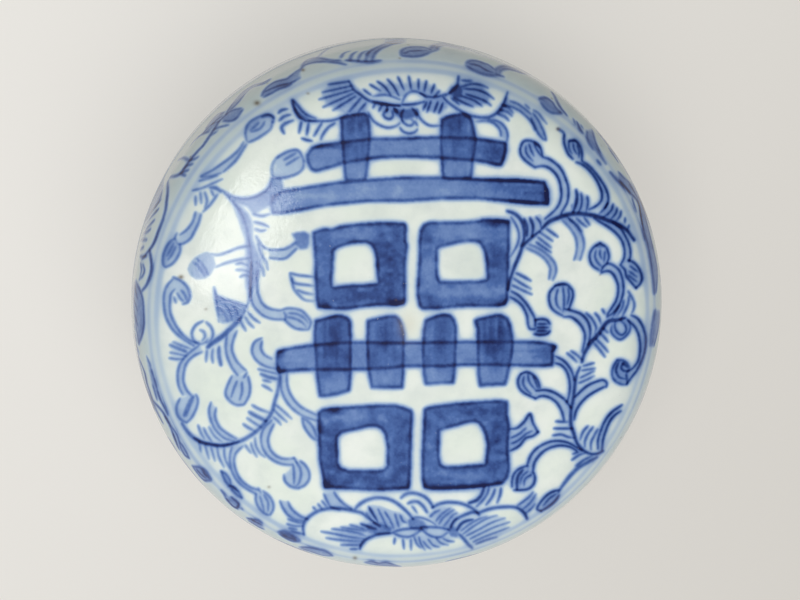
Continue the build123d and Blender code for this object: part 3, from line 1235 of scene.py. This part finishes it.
def scroll_band(painting, fall, height, repeats, lean, first=0.0, last=1.0):
    """Lay the scrolling border round a wall, so many lengths of it, that far down and with that height.

    Only the lengths whose middles lie between two shares of the way round are laid."""
    length = AROUND / repeats
    for turn in range(repeats):
        if not first <= (turn + 0.5) / repeats <= last:
            continue
        start = turn * length
        phase, rise = rng.uniform(-0.04, 0.04, 2)

        def swayed(points, start=start, phase=phase, rise=rise):
            """The pattern's points in their place, swayed so that no two lengths are alike."""
            sway = 0.03 * np.sin(points[:, 0] * 7 + phase * 60)
            x = start + length * (points[:, 0] + lean * (points[:, 1] - 0.5) + sway * 0.5)
            return np.column_stack([x, fall + height * (points[:, 1] * 0.9 + 0.05 + rise * 0.3 + sway)])

        vine = read_points(SCROLL_VINE)
        vine = np.column_stack([start + length * vine[:, 0], fall + height * (vine[:, 1] * 0.9 + 0.05)])
        painting.line(vine, 0.75, 0.9, taper=1)
        painting.washed(0.46, 0.75, 0.32, SCROLL_WASHED, place=swayed, rim_width=0.4)
        painting.lines(0.46, 0.72, SCROLL_LINES, place=swayed)


# Lid, wall below the rings: the shoulder's strokes, and the border where the picture shows nothing
LID_BAND = 13.4  # mm from the outer ring down to the end of the border
HIDDEN_FALL = 3.0  # and to its start
HIDDEN_SHARES = ((0.0, 0.25), (0.68, 1.0))  # of the way round, away from the petals on the left
lid_side = wall_painting(LID_BAND + 1.5)
for first, last in HIDDEN_SHARES:
    scroll_band(lid_side, HIDDEN_FALL, LID_BAND - HIDDEN_FALL, repeats=8, lean=-0.1, first=first, last=last)
shoulder_strokes(lid_side, unit=1.0, load=1.2, place=on_shoulder)
finish_wall(lid_side)

# Bowl, outside
BASE_BAND = 15.5  # mm from the start of the border down to its end
base_side = wall_painting(BASE_BAND + 9)
scroll_band(base_side, 0.0, BASE_BAND, repeats=7, lean=0.15)
finish_wall(base_side)

# Turned pieces: rings of points round the axis, with more points where the ring is longer
RING_COUNTS = np.array([24, 36, 48, 72, 96, 144, 192, 288, 384, 576, 768, 1152, 1536])
# the flat layout of a piece: a wide disc for its outside and a small one for its inside
WIDE_DISC = 0.435
WIDE_MIDDLE = 0.44
SMALL_DISC = 0.143
SMALL_MIDDLE = 0.855


def faces_between(starts, counts):
    """Square faces between rings of as many points, triangles between the others, and the ring of each."""
    squares, square_rings, triangles, triangle_rings = [], [], [], []
    for ring, (n, m) in enumerate(zip(counts, counts[1:])):
        here = starts[ring]
        there = starts[ring + 1]
        i = np.arange(n)
        j = np.arange(m)
        if n == m:
            after = (i + 1) % n
            squares.append(np.column_stack([here + i, there + i, there + after, here + after]))
            square_rings.append(np.full(n, ring))
            continue
        if m > 1:
            nearest = np.floor((j + 0.5) * n / m + 0.5).astype(int) % n
            triangles.append(np.column_stack([here + nearest, there + j, there + (j + 1) % m]))
            triangle_rings.append(np.full(m, ring))
        if n > 1:
            turning = np.ceil((i + 0.5) * m / n - 0.5).astype(int) % m
            triangles.append(np.column_stack([here + i, there + turning, here + (i + 1) % n]))
            triangle_rings.append(np.full(n, ring))
    return (np.vstack(squares), np.concatenate(square_rings),
            np.vstack(triangles), np.concatenate(triangle_rings))


class TurnedForm:
    """A mesh turned from a profile that starts and ends on the axis, whose first points are its outside.

    For each point of the mesh it keeps whether it lies on the outside, its way down the profile, its angle
    and its radius."""

    def __init__(self, name, profile, outside, cell_outside, cell_inside):
        along = distance_along(profile)
        cell = np.where(np.arange(len(profile)) < outside, cell_outside, cell_inside)
        wanted = 2 * math.pi * profile[:, 0] / cell
        counts = RING_COUNTS[np.clip(np.searchsorted(RING_COUNTS, wanted), 0, len(RING_COUNTS) - 1)]
        counts[[0, -1]] = 1
        starts = np.concatenate([[0], np.cumsum(counts)])
        ring = np.repeat(np.arange(len(profile)), counts)
        turn = 2 * math.pi * (np.arange(starts[-1]) - starts[ring]) / counts[ring]
        x = profile[ring, 0] * np.cos(turn)
        y = profile[ring, 0] * np.sin(turn)
        self.points = np.column_stack([x, y, profile[ring, 1]])
        self.down = along[ring]
        self.outer = ring < outside
        self.angle = np.arctan2(y, x)
        self.radius = np.hypot(x, y)

        squares, square_rings, triangles, triangle_rings = faces_between(starts, counts)
        corners = np.concatenate([squares.ravel(), triangles.ravel()])
        corner_rings = np.concatenate([np.repeat(square_rings, 4), np.repeat(triangle_rings, 3)])
        face_starts = np.concatenate([4 * np.arange(len(squares)),
                                      4 * len(squares) + 3 * np.arange(len(triangles))])
        self.mesh = bpy.data.meshes.new(name)
        self.mesh.vertices.add(len(self.points))
        self.place_points(self.points)
        self.mesh.loops.add(len(corners))
        self.mesh.loops.foreach_set("vertex_index", corners.astype(np.int32))
        self.mesh.polygons.add(len(face_starts))
        self.mesh.polygons.foreach_set("loop_start", face_starts.astype(np.int32))
        self.mesh.update(calc_edges=True)
        self.lay_flat(corner_rings < outside, self.down[corners], turn[corners], along[outside], along[-1])
        self.mesh.validate()
        self.mesh.polygons.foreach_set("use_smooth", np.ones(len(self.mesh.polygons), bool))
        self.piece = bpy.data.objects.new(name, self.mesh)
        bpy.context.scene.collection.objects.link(self.piece)

    def place_points(self, points):
        """Put the mesh's points at places in millimetres."""
        self.mesh.vertices.foreach_set("co", (points * MM).astype(np.float32).ravel())

    def lay_flat(self, outer, along, turn, split, end):
        """Flat layout for both sides of the piece: two discs, side by side."""
        disc = np.where(outer, WIDE_DISC * along / split, SMALL_DISC * (end - along) / (end - split))
        middle = np.where(outer, WIDE_MIDDLE, SMALL_MIDDLE)
        around = turn * np.where(outer, 1, -1)
        flat = np.column_stack([middle + disc * np.cos(around), middle + disc * np.sin(around)])
        layout = self.mesh.uv_layers.new(name="OFBake")
        layout.data.foreach_set("uv", flat.astype(np.float32).ravel())

    def carry(self, name, values):
        """Store one number at each point, for the finish to read."""
        layer = self.mesh.attributes.new(name, "FLOAT", "POINT")
        layer.data.foreach_set("value", np.asarray(values, np.float32))


def wave(angle, turns, shift):
    """A slow wander round a ring, between -1 and 1."""
    return np.sin(turns * angle + shift) * 0.6 + np.sin((2 * turns + 1) * angle + 2.3 * shift) * 0.4


def painted_rings(form, below, rings):
    """Ink of rings round a piece, each with its place below a start, its width and its strength."""
    ink = np.zeros(len(below))
    for place, width, strength in rings:
        wander = 0.12 * wave(form.angle, 3, place + 1) + 0.06 * wave(form.angle, 11, place)
        uneven = strength * (1 + 0.25 * wave(form.angle, 5, place + 2))
        ink += uneven * np.exp(-(((below - place - wander) / width) ** 2))
    return ink


def iron_specks(form, below, count, first, last):
    """Scattered iron specks that came up through the glaze, between two distances below a start."""
    specks = np.zeros(len(below))
    least = [-math.pi, first, 0.12, 0.2]
    most = [math.pi, last, 0.3, 0.8]
    for angle, fall, reach, depth in rng.uniform(least, most, (count, 4)):
        turn = (form.angle - angle + math.pi) % (2 * math.pi) - math.pi
        near = np.hypot(turn * form.radius, below - fall) / reach
        specks += depth * np.exp(-near**2)
    return specks


# Lid
TOP_ENDS = 0.1  # mm below the outer ring, where the painting of the top gives way to the wall's
# specks that the picture shows, as x, y, reach and depth
SPECKS = [(257, 103, 2.6, 0.9), (308, 93.5, 1.4, 0.5), (181, 277, 2.2, 0.8), (206, 309, 1.4, 0.5),
          (558, 129, 1.8, 0.8), (269, 487, 1.4, 0.5), (355, 558, 1.9, 0.7), (303, 70, 1.6, 0.8),
          (600, 275, 1.0, 0.4), (396, 300, 1.0, 0.5)]
# the thin worn spot in the middle of the ornament, where the body shows through
WORN_SPOT = (409, 324)
WORN_REACH = (9, 13)

lid_form = TurnedForm("painted_lid", lid_line, lid_outside, LID_CELL, INSIDE_CELL)
px, py = in_picture(lid_form.points)
below = lid_form.down - ring_down
inner_ring_down = float(np.interp(INNER_RING, lid_outer[:ring_at, 0], lid_down[:ring_at])) - ring_down
cobalt = np.where(below < TOP_ENDS, top.sample(px, py), lid_side.sample(way_round(lid_form.angle), below))
cobalt += painted_rings(lid_form, below, [(0.0, 0.75, 0.16), (inner_ring_down, 0.85, 0.15)])
lid_form.carry("cobalt", np.where(lid_form.outer, cobalt, 0))
# the glaze is made darker and bluer at the rings and down the wall: partly glaze lying thicker there,
# partly painted shade where the shoulder turns from the light
pooled_and_shaded = 0.6 * np.exp(-(((below + 0.4) / 3.0) ** 2)) + 0.4 * between(below, -1, 4)
lid_form.carry("pooled_glaze", np.where(lid_form.outer, np.clip(pooled_and_shaded, 0, 1), 0.3))
lid_form.carry("bare", 1 - between(lid_form.points[:, 2], LEDGE + 0.35, LEDGE + 0.75))
specks = iron_specks(lid_form, below, 26, 0.5, 12)
for x, y, reach, depth in SPECKS:
    specks += depth * np.exp(-((np.hypot((px - x) * 0.8, py - y) / reach) ** 2))
lid_form.carry("iron", np.where(lid_form.outer, np.clip(specks, 0, 1), 0))
worn = np.exp(-(((px - WORN_SPOT[0]) / WORN_REACH[0]) ** 2) - ((py - WORN_SPOT[1]) / WORN_REACH[1]) ** 2)
lid_form.carry("thin_glaze", np.where(lid_form.outer, worn, 0))
lid = lid_form.piece
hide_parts("lid")
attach(lid, "lid")

# Bowl
BORDER_FALL = 1.2  # mm from the ledge down to the scrolling border
base_line, base_outside = base_profile(SURFACE_STEP, INSIDE_STEP)
ledge_down = float(distance_along(base_line)[np.argmax(base_line[:, 1] > LEDGE - 0.1)])
base_form = TurnedForm("painted_base", base_line, base_outside, BASE_CELL, INSIDE_CELL)
height = base_form.points[:, 2]
below = ledge_down - base_form.down
painted = base_form.outer & (below > 0) & (base_form.radius > FOOT_OUTER)
cobalt = base_side.sample(way_round(base_form.angle), below - BORDER_FALL)
cobalt += painted_rings(base_form, below, [(0.9, 0.4, 0.3), (17.6, 0.45, 0.55), (18.9, 0.4, 0.45)])
base_form.carry("cobalt", np.where(painted, cobalt, 0))
# the ledge, the lip down to a little inside its top, and the foot are unglazed
seat = (height > LEDGE - 0.5) & (base_form.radius > LIP_INNER - 1) & (base_form.down > ledge_down - 0.4)
seat_bare = np.where(seat, between(height, LEDGE - 0.5, LEDGE - 0.15), 0)
lip_bare = between(height, LIP_TOP - 1.1, LIP_TOP - 0.6)
seat_bare = np.where(seat & (base_form.radius < LIP_INNER + 0.3), lip_bare, seat_bare)
foot_bare = 1 - between(height, 0.5, 1.0)
base_form.carry("bare", np.maximum(seat_bare, foot_bare))
specks = iron_specks(base_form, below, 40, 1, 30)
base_form.carry("iron", np.where(below > 0, np.clip(specks, 0, 1), 0))
base_form.carry("thin_glaze", np.zeros(len(below)))
# the glaze is made a little darker and bluer everywhere, and more so towards the bottom of the outside wall
base_form.carry("pooled_glaze", 0.35 + 0.5 * between(below, 12, 22) * (below > 0))
base = base_form.piece
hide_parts("base")
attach(base, "base")

# Paste: a kneaded mound that sits a little inside the space the part gives it
PASTE_INSET = 0.2
PASTE_CELL = 0.5
PASTE_UNDER_CELL = 1.0
PASTE_UNDER_STEP = 0.8
LUMPS = (-1.6, 0.55)  # mm that the surface sinks and rises at most
EDGE_FALL = 1.6  # mm that the mound rolls down at its edge
KNEADED_TO = 46  # mm from the axis, past the edge of the paste
PRESSES = 4  # flat places that a seal left
PRESS_DEPTH = 0.45
PRESS_EDGE = 1.6


def paste_profile():
    """Profile of the paste from the top of its mound to the middle of its underside.

    With it comes the number of its points on the mound."""
    wall = PASTE_RADIUS - PASTE_INSET
    floor = PASTE_FLOOR + PASTE_INSET
    reach = np.linspace(0, 1, 90)[:-1]
    rise = (PASTE_TOP - PASTE_EDGE - 0.6) * (1 - reach**2) * (1 - 0.35 * np.exp(-((1 - reach) / 0.06)))
    edge_fall = EDGE_FALL * np.exp(-(1 - reach) / 0.05)
    mound = np.column_stack([reach * wall, PASTE_EDGE - 0.5 + rise - edge_fall])
    under = rounded_run([(wall, PASTE_EDGE - 2.8, 0), (wall - 0.1, floor, PASTE_ROUND), (0, floor, 0)],
                        PASTE_UNDER_STEP)
    return np.vstack([mound, [[wall, PASTE_EDGE - 2.4]], under, [[0.0, floor]]]), len(mound)


paste_line, paste_mound = paste_profile()
paste_form = TurnedForm("red_seal_paste", paste_line, paste_mound, PASTE_CELL, PASTE_UNDER_CELL)
# the heights of the lumps are kept as a painting's ink, and sampled like it
kneading = Painting((-KNEADED_TO, -KNEADED_TO), (KNEADED_TO, KNEADED_TO), cells=2, soft=1.0)
for share, size in ((0.55, 16), (0.3, 7), (0.1, 3)):
    kneading.ink += share * mottle(kneading.ink.shape, size)
rows, columns = kneading.ink.shape
x = (np.arange(columns) / kneading.cells - KNEADED_TO)[None, :]
y = (np.arange(rows) / kneading.cells - KNEADED_TO)[:, None]
least = [-26, -26, 0, 9, 11]
most = [26, 26, math.pi, 13, 15]
for x0, y0, turn, half_long, half_wide in rng.uniform(least, most, (PRESSES, len(most))):
    along = (x - x0) * math.cos(turn) + (y - y0) * math.sin(turn)
    aside = (y - y0) * math.cos(turn) - (x - x0) * math.sin(turn)
    flat = between(half_long - np.abs(along), 0, PRESS_EDGE)
    kneading.ink -= PRESS_DEPTH * flat * between(half_wide - np.abs(aside), 0, PRESS_EDGE)
lumps = kneading.sample(paste_form.points[:, 0], paste_form.points[:, 1])
lift = np.clip(lumps, *LUMPS) * paste_form.outer * between(PASTE_RADIUS - paste_form.radius, 0, 3)
paste_form.place_points(paste_form.points + np.outer(lift, (0, 0, 1)))
paste_form.mesh.update()
paste_form.carry("lumps", lumps)
paste = paste_form.piece
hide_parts("seal_paste")
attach(paste, "base")


# Finishes
class Shade:
    """An output of a shader node. Sums, differences and products of it are Math nodes."""

    def __init__(self, finish, socket):
        self.finish = finish
        self.socket = socket

    def math(self, operation, first, second):
        return self.finish.node("ShaderNodeMath", {"operation": operation}, {0: first, 1: second})

    def __add__(self, other):
        return self.math("ADD", self, other)

    def __sub__(self, other):
        return self.math("SUBTRACT", self, other)

    def __rsub__(self, other):
        return self.math("SUBTRACT", other, self)

    def __mul__(self, other):
        return self.math("MULTIPLY", self, other)

    __radd__ = __add__
    __rmul__ = __mul__

    def within(self, low, high):
        """0 at low and 1 at high, smooth between them and held to that range."""
        sockets = {"Value": self, "From Min": low, "From Max": high}
        return self.finish.node("ShaderNodeMapRange", {"interpolation_type": "SMOOTHSTEP"}, sockets)


class Finish:
    """The look of a material or of the world, as nodes that end in one shader."""

    def __init__(self, owner, shader="Principled BSDF"):
        owner.use_nodes = True
        self.owner = owner
        self.tree = owner.node_tree
        self.shader = self.tree.nodes[shader]

    def fill(self, node, sockets):
        """Give sockets, by name or number, their values or links."""
        for key, value in sockets.items():
            if isinstance(value, Shade):
                self.tree.links.new(value.socket, node.inputs[key])
            else:
                node.inputs[key].default_value = value

    def node(self, kind, settings, sockets, output=0):
        """An output of a new node, which is given its settings first and then its sockets."""
        node = self.tree.nodes.new(kind)
        for key, value in settings.items():
            if key == "stops":
                self.set_stops(node.color_ramp.elements, value)
            else:
                setattr(node, key, value)
        self.fill(node, sockets)
        return Shade(self, node.outputs[output])

    def set_stops(self, elements, stops):
        """Give a colour ramp its stops, each a place and a colour."""
        while len(elements) < len(stops):
            elements.new(0.5)
        for element, (place, colour) in zip(elements, stops):
            element.position = place
            element.color = (*colour, 1)

    def set(self, **sockets):
        """Sockets of the shader, named with _ for a space."""
        self.fill(self.shader, {key.replace("_", " "): value for key, value in sockets.items()})

    def stored(self, name):
        """A number that the piece carries at each of its points."""
        return self.node("ShaderNodeAttribute", {"attribute_name": name}, {}, output="Fac")

    def place(self, kind="Object"):
        """Where a spot of the surface or of the sky lies."""
        return self.node("ShaderNodeTexCoord", {}, {}, output=kind)

    def part(self, vector, axis):
        """One part of a vector."""
        return self.node("ShaderNodeSeparateXYZ", {}, {0: vector}, output=axis)

    def seen_by(self, ray):
        """1 where that kind of ray from the camera meets the surface, and otherwise 0."""
        return self.node("ShaderNodeLightPath", {}, {}, output=f"Is {ray} Ray")

    def noise(self, scale, detail=3.0, roughness=0.55, stretch=(1, 1, 1)):
        """Unevenness through the material, from 0 to 1, with that many patches to the metre."""
        place = self.node("ShaderNodeVectorMath", {"operation": "MULTIPLY"}, {0: self.place(), 1: stretch})
        sockets = {"Vector": place, "Scale": scale, "Detail": detail, "Roughness": roughness}
        return self.node("ShaderNodeTexNoise", {}, sockets)

    def mix(self, share, first, second, blend="MIX"):
        """Two colours mixed."""
        first, second = (c if isinstance(c, Shade) else (*c, 1) for c in (first, second))
        settings = {"data_type": "RGBA", "blend_type": blend}
        return self.node("ShaderNodeMix", settings, {0: share, 6: first, 7: second}, output=2)

    def bump(self, height, strength, distance, over=None):
        """Fine relief of a height, in metres at full strength, over a coarser relief if there is one."""
        sockets = {"Height": height, "Strength": strength, "Distance": distance}
        if over:
            sockets["Normal"] = over
        return self.node("ShaderNodeBump", {}, sockets)


def tint(red, green, blue):
    """A colour as it looks on a screen, from 0 to 255, as light."""
    levels = [c / 255 for c in (red, green, blue)]
    return tuple(((c + 0.055) / 1.055) ** 2.4 if c > 0.04 else c / 12.92 for c in levels)


GLAZE = tint(238, 242, 234)
GLAZE_GREEN = tint(228, 236, 224)
GLAZE_CLOUD = tint(208, 217, 211)
# thick glaze, and painted shade on the lid's shoulder and wall
GLAZE_POOLED_AND_SHADED = tint(180, 201, 209)
GLAZE_THIN = tint(214, 206, 180)
PINHOLE = tint(182, 186, 176)
BISCUIT = tint(221, 211, 193)
BISCUIT_DARK = tint(200, 183, 157)
BISCUIT_STAIN = tint(164, 128, 92)
IRON = tint(96, 74, 40)
# cobalt, from the palest wash to where it lies thickest
COBALT = [(0.0, tint(214, 226, 226)), (0.12, tint(170, 192, 216)), (0.28, tint(113, 142, 193)),
          (0.44, tint(73, 106, 169)), (0.6, tint(46, 75, 138)), (0.78, tint(24, 46, 106)),
          (1.0, tint(5, 15, 68))]
FULL_INK = 1.6
BARE_ROUGHNESS = 0.75


def glazed_porcelain():
    """Cobalt painting under a clear, slightly green glaze, and bare body where the halves meet."""
    finish = Finish(bpy.data.materials.new("glazed porcelain, cobalt painted"))
    ink = finish.stored("cobalt")
    bare = finish.stored("bare")
    thin = finish.stored("thin_glaze")
    broad = finish.noise(60)
    small = finish.noise(420, detail=4)
    grain = finish.noise(2600, detail=2)

    # the washes granulate as the glaze melts over them
    granular = ink * (0.86 + 0.28 * small) * (0.94 + 0.12 * grain)
    blue = finish.node("ShaderNodeValToRGB", {"stops": COBALT}, {0: granular * (1 / FULL_INK)})

    glaze = finish.mix(broad.within(0.3, 0.7), GLAZE, GLAZE_GREEN)
    clouds = finish.noise(140, detail=5).within(0.4, 0.7) * 0.45 + small.within(0.45, 0.75) * 0.2
    glaze = finish.mix(clouds, glaze, GLAZE_CLOUD)
    # thick glaze and painted shade make the glaze darker and bluer where the pieces carry them
    glaze = finish.mix(finish.stored("pooled_glaze") * (0.7 + 0.6 * small), glaze, GLAZE_POOLED_AND_SHADED)

    colour = finish.mix(ink.within(0.0, 0.16), glaze, blue)
    speckle = finish.noise(900, detail=2).within(0.62, 0.74) * thin
    colour = finish.mix(thin * 0.35 + 0.4 * speckle, colour, GLAZE_THIN)
    pinholes = finish.noise(1500, detail=1).within(0.79, 0.83) * 0.4
    colour = finish.mix(pinholes, colour, PINHOLE)
    colour = finish.mix(finish.stored("iron"), colour, IRON)
    body = finish.mix(finish.noise(1500, detail=4).within(0.3, 0.75), BISCUIT, BISCUIT_DARK)
    body = finish.mix(finish.noise(90).within(0.45, 0.75) * 0.45, body, BISCUIT_STAIN)
    colour = finish.mix(bare, colour, body)

    gloss = 0.05 + 0.03 * broad + 0.03 * small
    rough = gloss * (1 - bare) + BARE_ROUGHNESS * bare
    peel = finish.bump(finish.noise(1400, detail=2), 0.22, 0.0001)
    worn = finish.bump(grain, 0.3, 0.00003, over=peel)
    ripple = finish.bump(finish.noise(160, detail=2), 0.12, 0.0004, over=worn)
    sandy = finish.bump(finish.noise(3000) * bare, 0.5, 0.0002, over=ripple)
    finish.set(Base_Color=colour, Roughness=rough, Normal=sandy, IOR=1.5)
    return finish.owner


PASTE_RED = tint(206, 44, 24)
PASTE_SHADE = tint(140, 18, 10)
# painted shade: the dark red laid into the paste's sunken places
PASTE_HOLLOW_SHADE = tint(112, 12, 8)


def red_paste():
    """Oily cinnabar paste with short silk fibres drawn through it."""
    finish = Finish(bpy.data.materials.new("red seal paste"))
    fibres = finish.noise(900, 5, 0.65, (1, 0.25, 1)) * 0.5 + finish.noise(900, 5, 0.65, (0.25, 1, 1)) * 0.5
    grain = finish.noise(3500)
    colour = finish.mix((fibres * 0.6 + grain * 0.4).within(0.35, 0.65), PASTE_SHADE, PASTE_RED)
    # painted shade: the paste is darker where its surface sinks
    colour = finish.mix(finish.stored("lumps").within(0.1, -0.7) * 0.5, colour, PASTE_HOLLOW_SHADE)
    relief = finish.bump(fibres, 0.6, 0.0006)
    relief = finish.bump(grain, 0.4, 0.0002, over=relief)
    finish.set(Base_Color=colour, Roughness=0.34 + 0.25 * grain, Normal=relief,
               IOR=1.48, Specular_IOR_Level=0.55)
    return finish.owner


porcelain = glazed_porcelain()
lid.data.materials.append(porcelain)
base.data.materials.append(porcelain)
paste.data.materials.append(red_paste())

# Floor and backdrop, one pale sheet
FLOOR_HALF = 40.0  # metres
PAPER = tint(240, 237, 231)
# painted shade: the paper darkens towards +X and -Y
PAPER_SHADED_SIDE = tint(214, 210, 203)
PAPER_UNDER_GLOW = tint(150, 148, 144)
LIT_SHARE = tint(166, 166, 166)  # how much of its colour the paper has in the light that it gives the box
GLOW_SHARE = tint(200, 200, 200)  # and how much of it glows to the camera


def pale_paper():
    """Paper that shows as it is written to the camera and in the glaze, with painted shade towards +X and
    -Y, and takes the box's shadow.
    """
    finish = Finish(bpy.data.materials.new("pale paper floor"))
    place = finish.place()
    across = finish.part(place, "X")
    up = finish.part(place, "Y")
    # painted shade across the sheet, darker towards +X and -Y
    paper = finish.mix((across - up * 0.6).within(-0.16, 0.22), PAPER, PAPER_SHADED_SIDE)
    seen = finish.seen_by("Camera")
    for ray in ("Glossy", "Transmission"):
        seen = seen.math("MAXIMUM", seen, finish.seen_by(ray))
    lit = finish.mix(1.0, paper, LIT_SHARE, "MULTIPLY")
    glow = finish.mix(1.0, paper, GLOW_SHARE, "MULTIPLY")
    finish.set(Base_Color=finish.mix(seen, PAPER_UNDER_GLOW, lit),
               Emission_Color=finish.mix(seen, (0, 0, 0), glow), Emission_Strength=1.0, Roughness=0.9)
    return finish.owner


floor_mesh = bpy.data.meshes.new("pale_floor")
floor_corners = [(x * FLOOR_HALF, y * FLOOR_HALF, 0) for x, y in ((-1, -1), (1, -1), (1, 1), (-1, 1))]
floor_mesh.from_pydata(floor_corners, [], [(0, 1, 2, 3)])
floor_mesh.materials.append(pale_paper())
floor = bpy.data.objects.new("pale_floor", floor_mesh)
bpy.context.scene.collection.objects.link(floor)


# Light
def set_axes(thing, x, y, z, place):
    """Put an object at a place, in metres, with its own axes along three directions."""
    rows = [[float(value) for value in row] for row in zip(x, y, z, place)]
    thing.matrix_world = Matrix(rows + [[0, 0, 0, 1]])


def lamp(name, place, aim, size, level, colour, lean=0.0):
    """A soft rectangular lamp of that brightness, facing its aim, its height leaning from the box's +Y."""
    data = bpy.data.lights.new(name, "AREA")
    data.shape = "RECTANGLE"
    data.size = size[0]
    data.size_y = size[1]
    data.energy = level * math.pi * size[0] * size[1]
    data.color = colour
    light = bpy.data.objects.new(name, data)
    bpy.context.scene.collection.objects.link(light)
    backward = np.array(place, float) - aim
    backward /= np.linalg.norm(backward)
    tall = np.array([math.sin(lean), math.cos(lean), 0.0])
    tall -= (tall @ backward) * backward
    tall /= np.linalg.norm(tall)
    set_axes(light, np.cross(tall, backward), tall, backward, place)
    return light


def seen_in_glaze(pixel, distance):
    """Where a pixel meets the dome, and where a lamp stands for its reflection to lie there, in metres."""
    ray = sight_lines(np.array([pixel]))[0]
    ray /= np.linalg.norm(ray)
    centre = np.array([0, 0, CROWN - DOME_RADIUS])
    offset = eye - centre
    along = -(offset @ ray) - math.sqrt((offset @ ray) ** 2 - offset @ offset + DOME_RADIUS**2)
    spot = eye + along * ray
    normal = (spot - centre) / DOME_RADIUS
    return spot * MM, spot * MM + distance * (ray - 2 * (ray @ normal) * normal)


WINDOW_PIXEL = (241, 240)
spot, window_place = seen_in_glaze(WINDOW_PIXEL, distance=0.8)
lamp("window", window_place, spot, size=(0.135, 0.29), level=5.0, colour=(1.0, 0.99, 0.97),
     lean=math.radians(22))
fill = lamp("broad_fill", (0.1, -0.75, 1.85), (0, 0, 0.045), size=(2.0, 2.0), level=2.2,
            colour=(1.0, 0.99, 0.98))
fill.visible_glossy = False

# a pale room that is brighter on one side, and plain to the camera
SKY_LEVEL = 0.5
SKY = [(0.0, (0.94, 0.97, 1.0)), (0.75, (0.3, 0.31, 0.32))]
ROOM = tuple(c / SKY_LEVEL for c in tint(222, 219, 213))
world = bpy.data.worlds.new("pale room")
room = Finish(world, "Background")
sky = room.node("ShaderNodeValToRGB", {"stops": SKY}, {0: room.part(room.place("Generated"), "X")})
room.set(Color=room.mix(room.seen_by("Camera"), sky, ROOM), Strength=SKY_LEVEL)
bpy.context.scene.world = world

# Camera
camera_data = bpy.data.cameras.new("camera")
camera = bpy.data.objects.new("camera", camera_data)
bpy.context.scene.collection.objects.link(camera)
camera_data.sensor_width = SENSOR
camera_data.lens = FOCAL * SENSOR / PICTURE[0]
camera_data.clip_start = 0.01
camera_data.clip_end = 200
set_axes(camera, rightward, upward, toward, eye * MM)
bpy.context.scene.camera = camera
bpy.context.scene.view_settings.view_transform = "Standard"
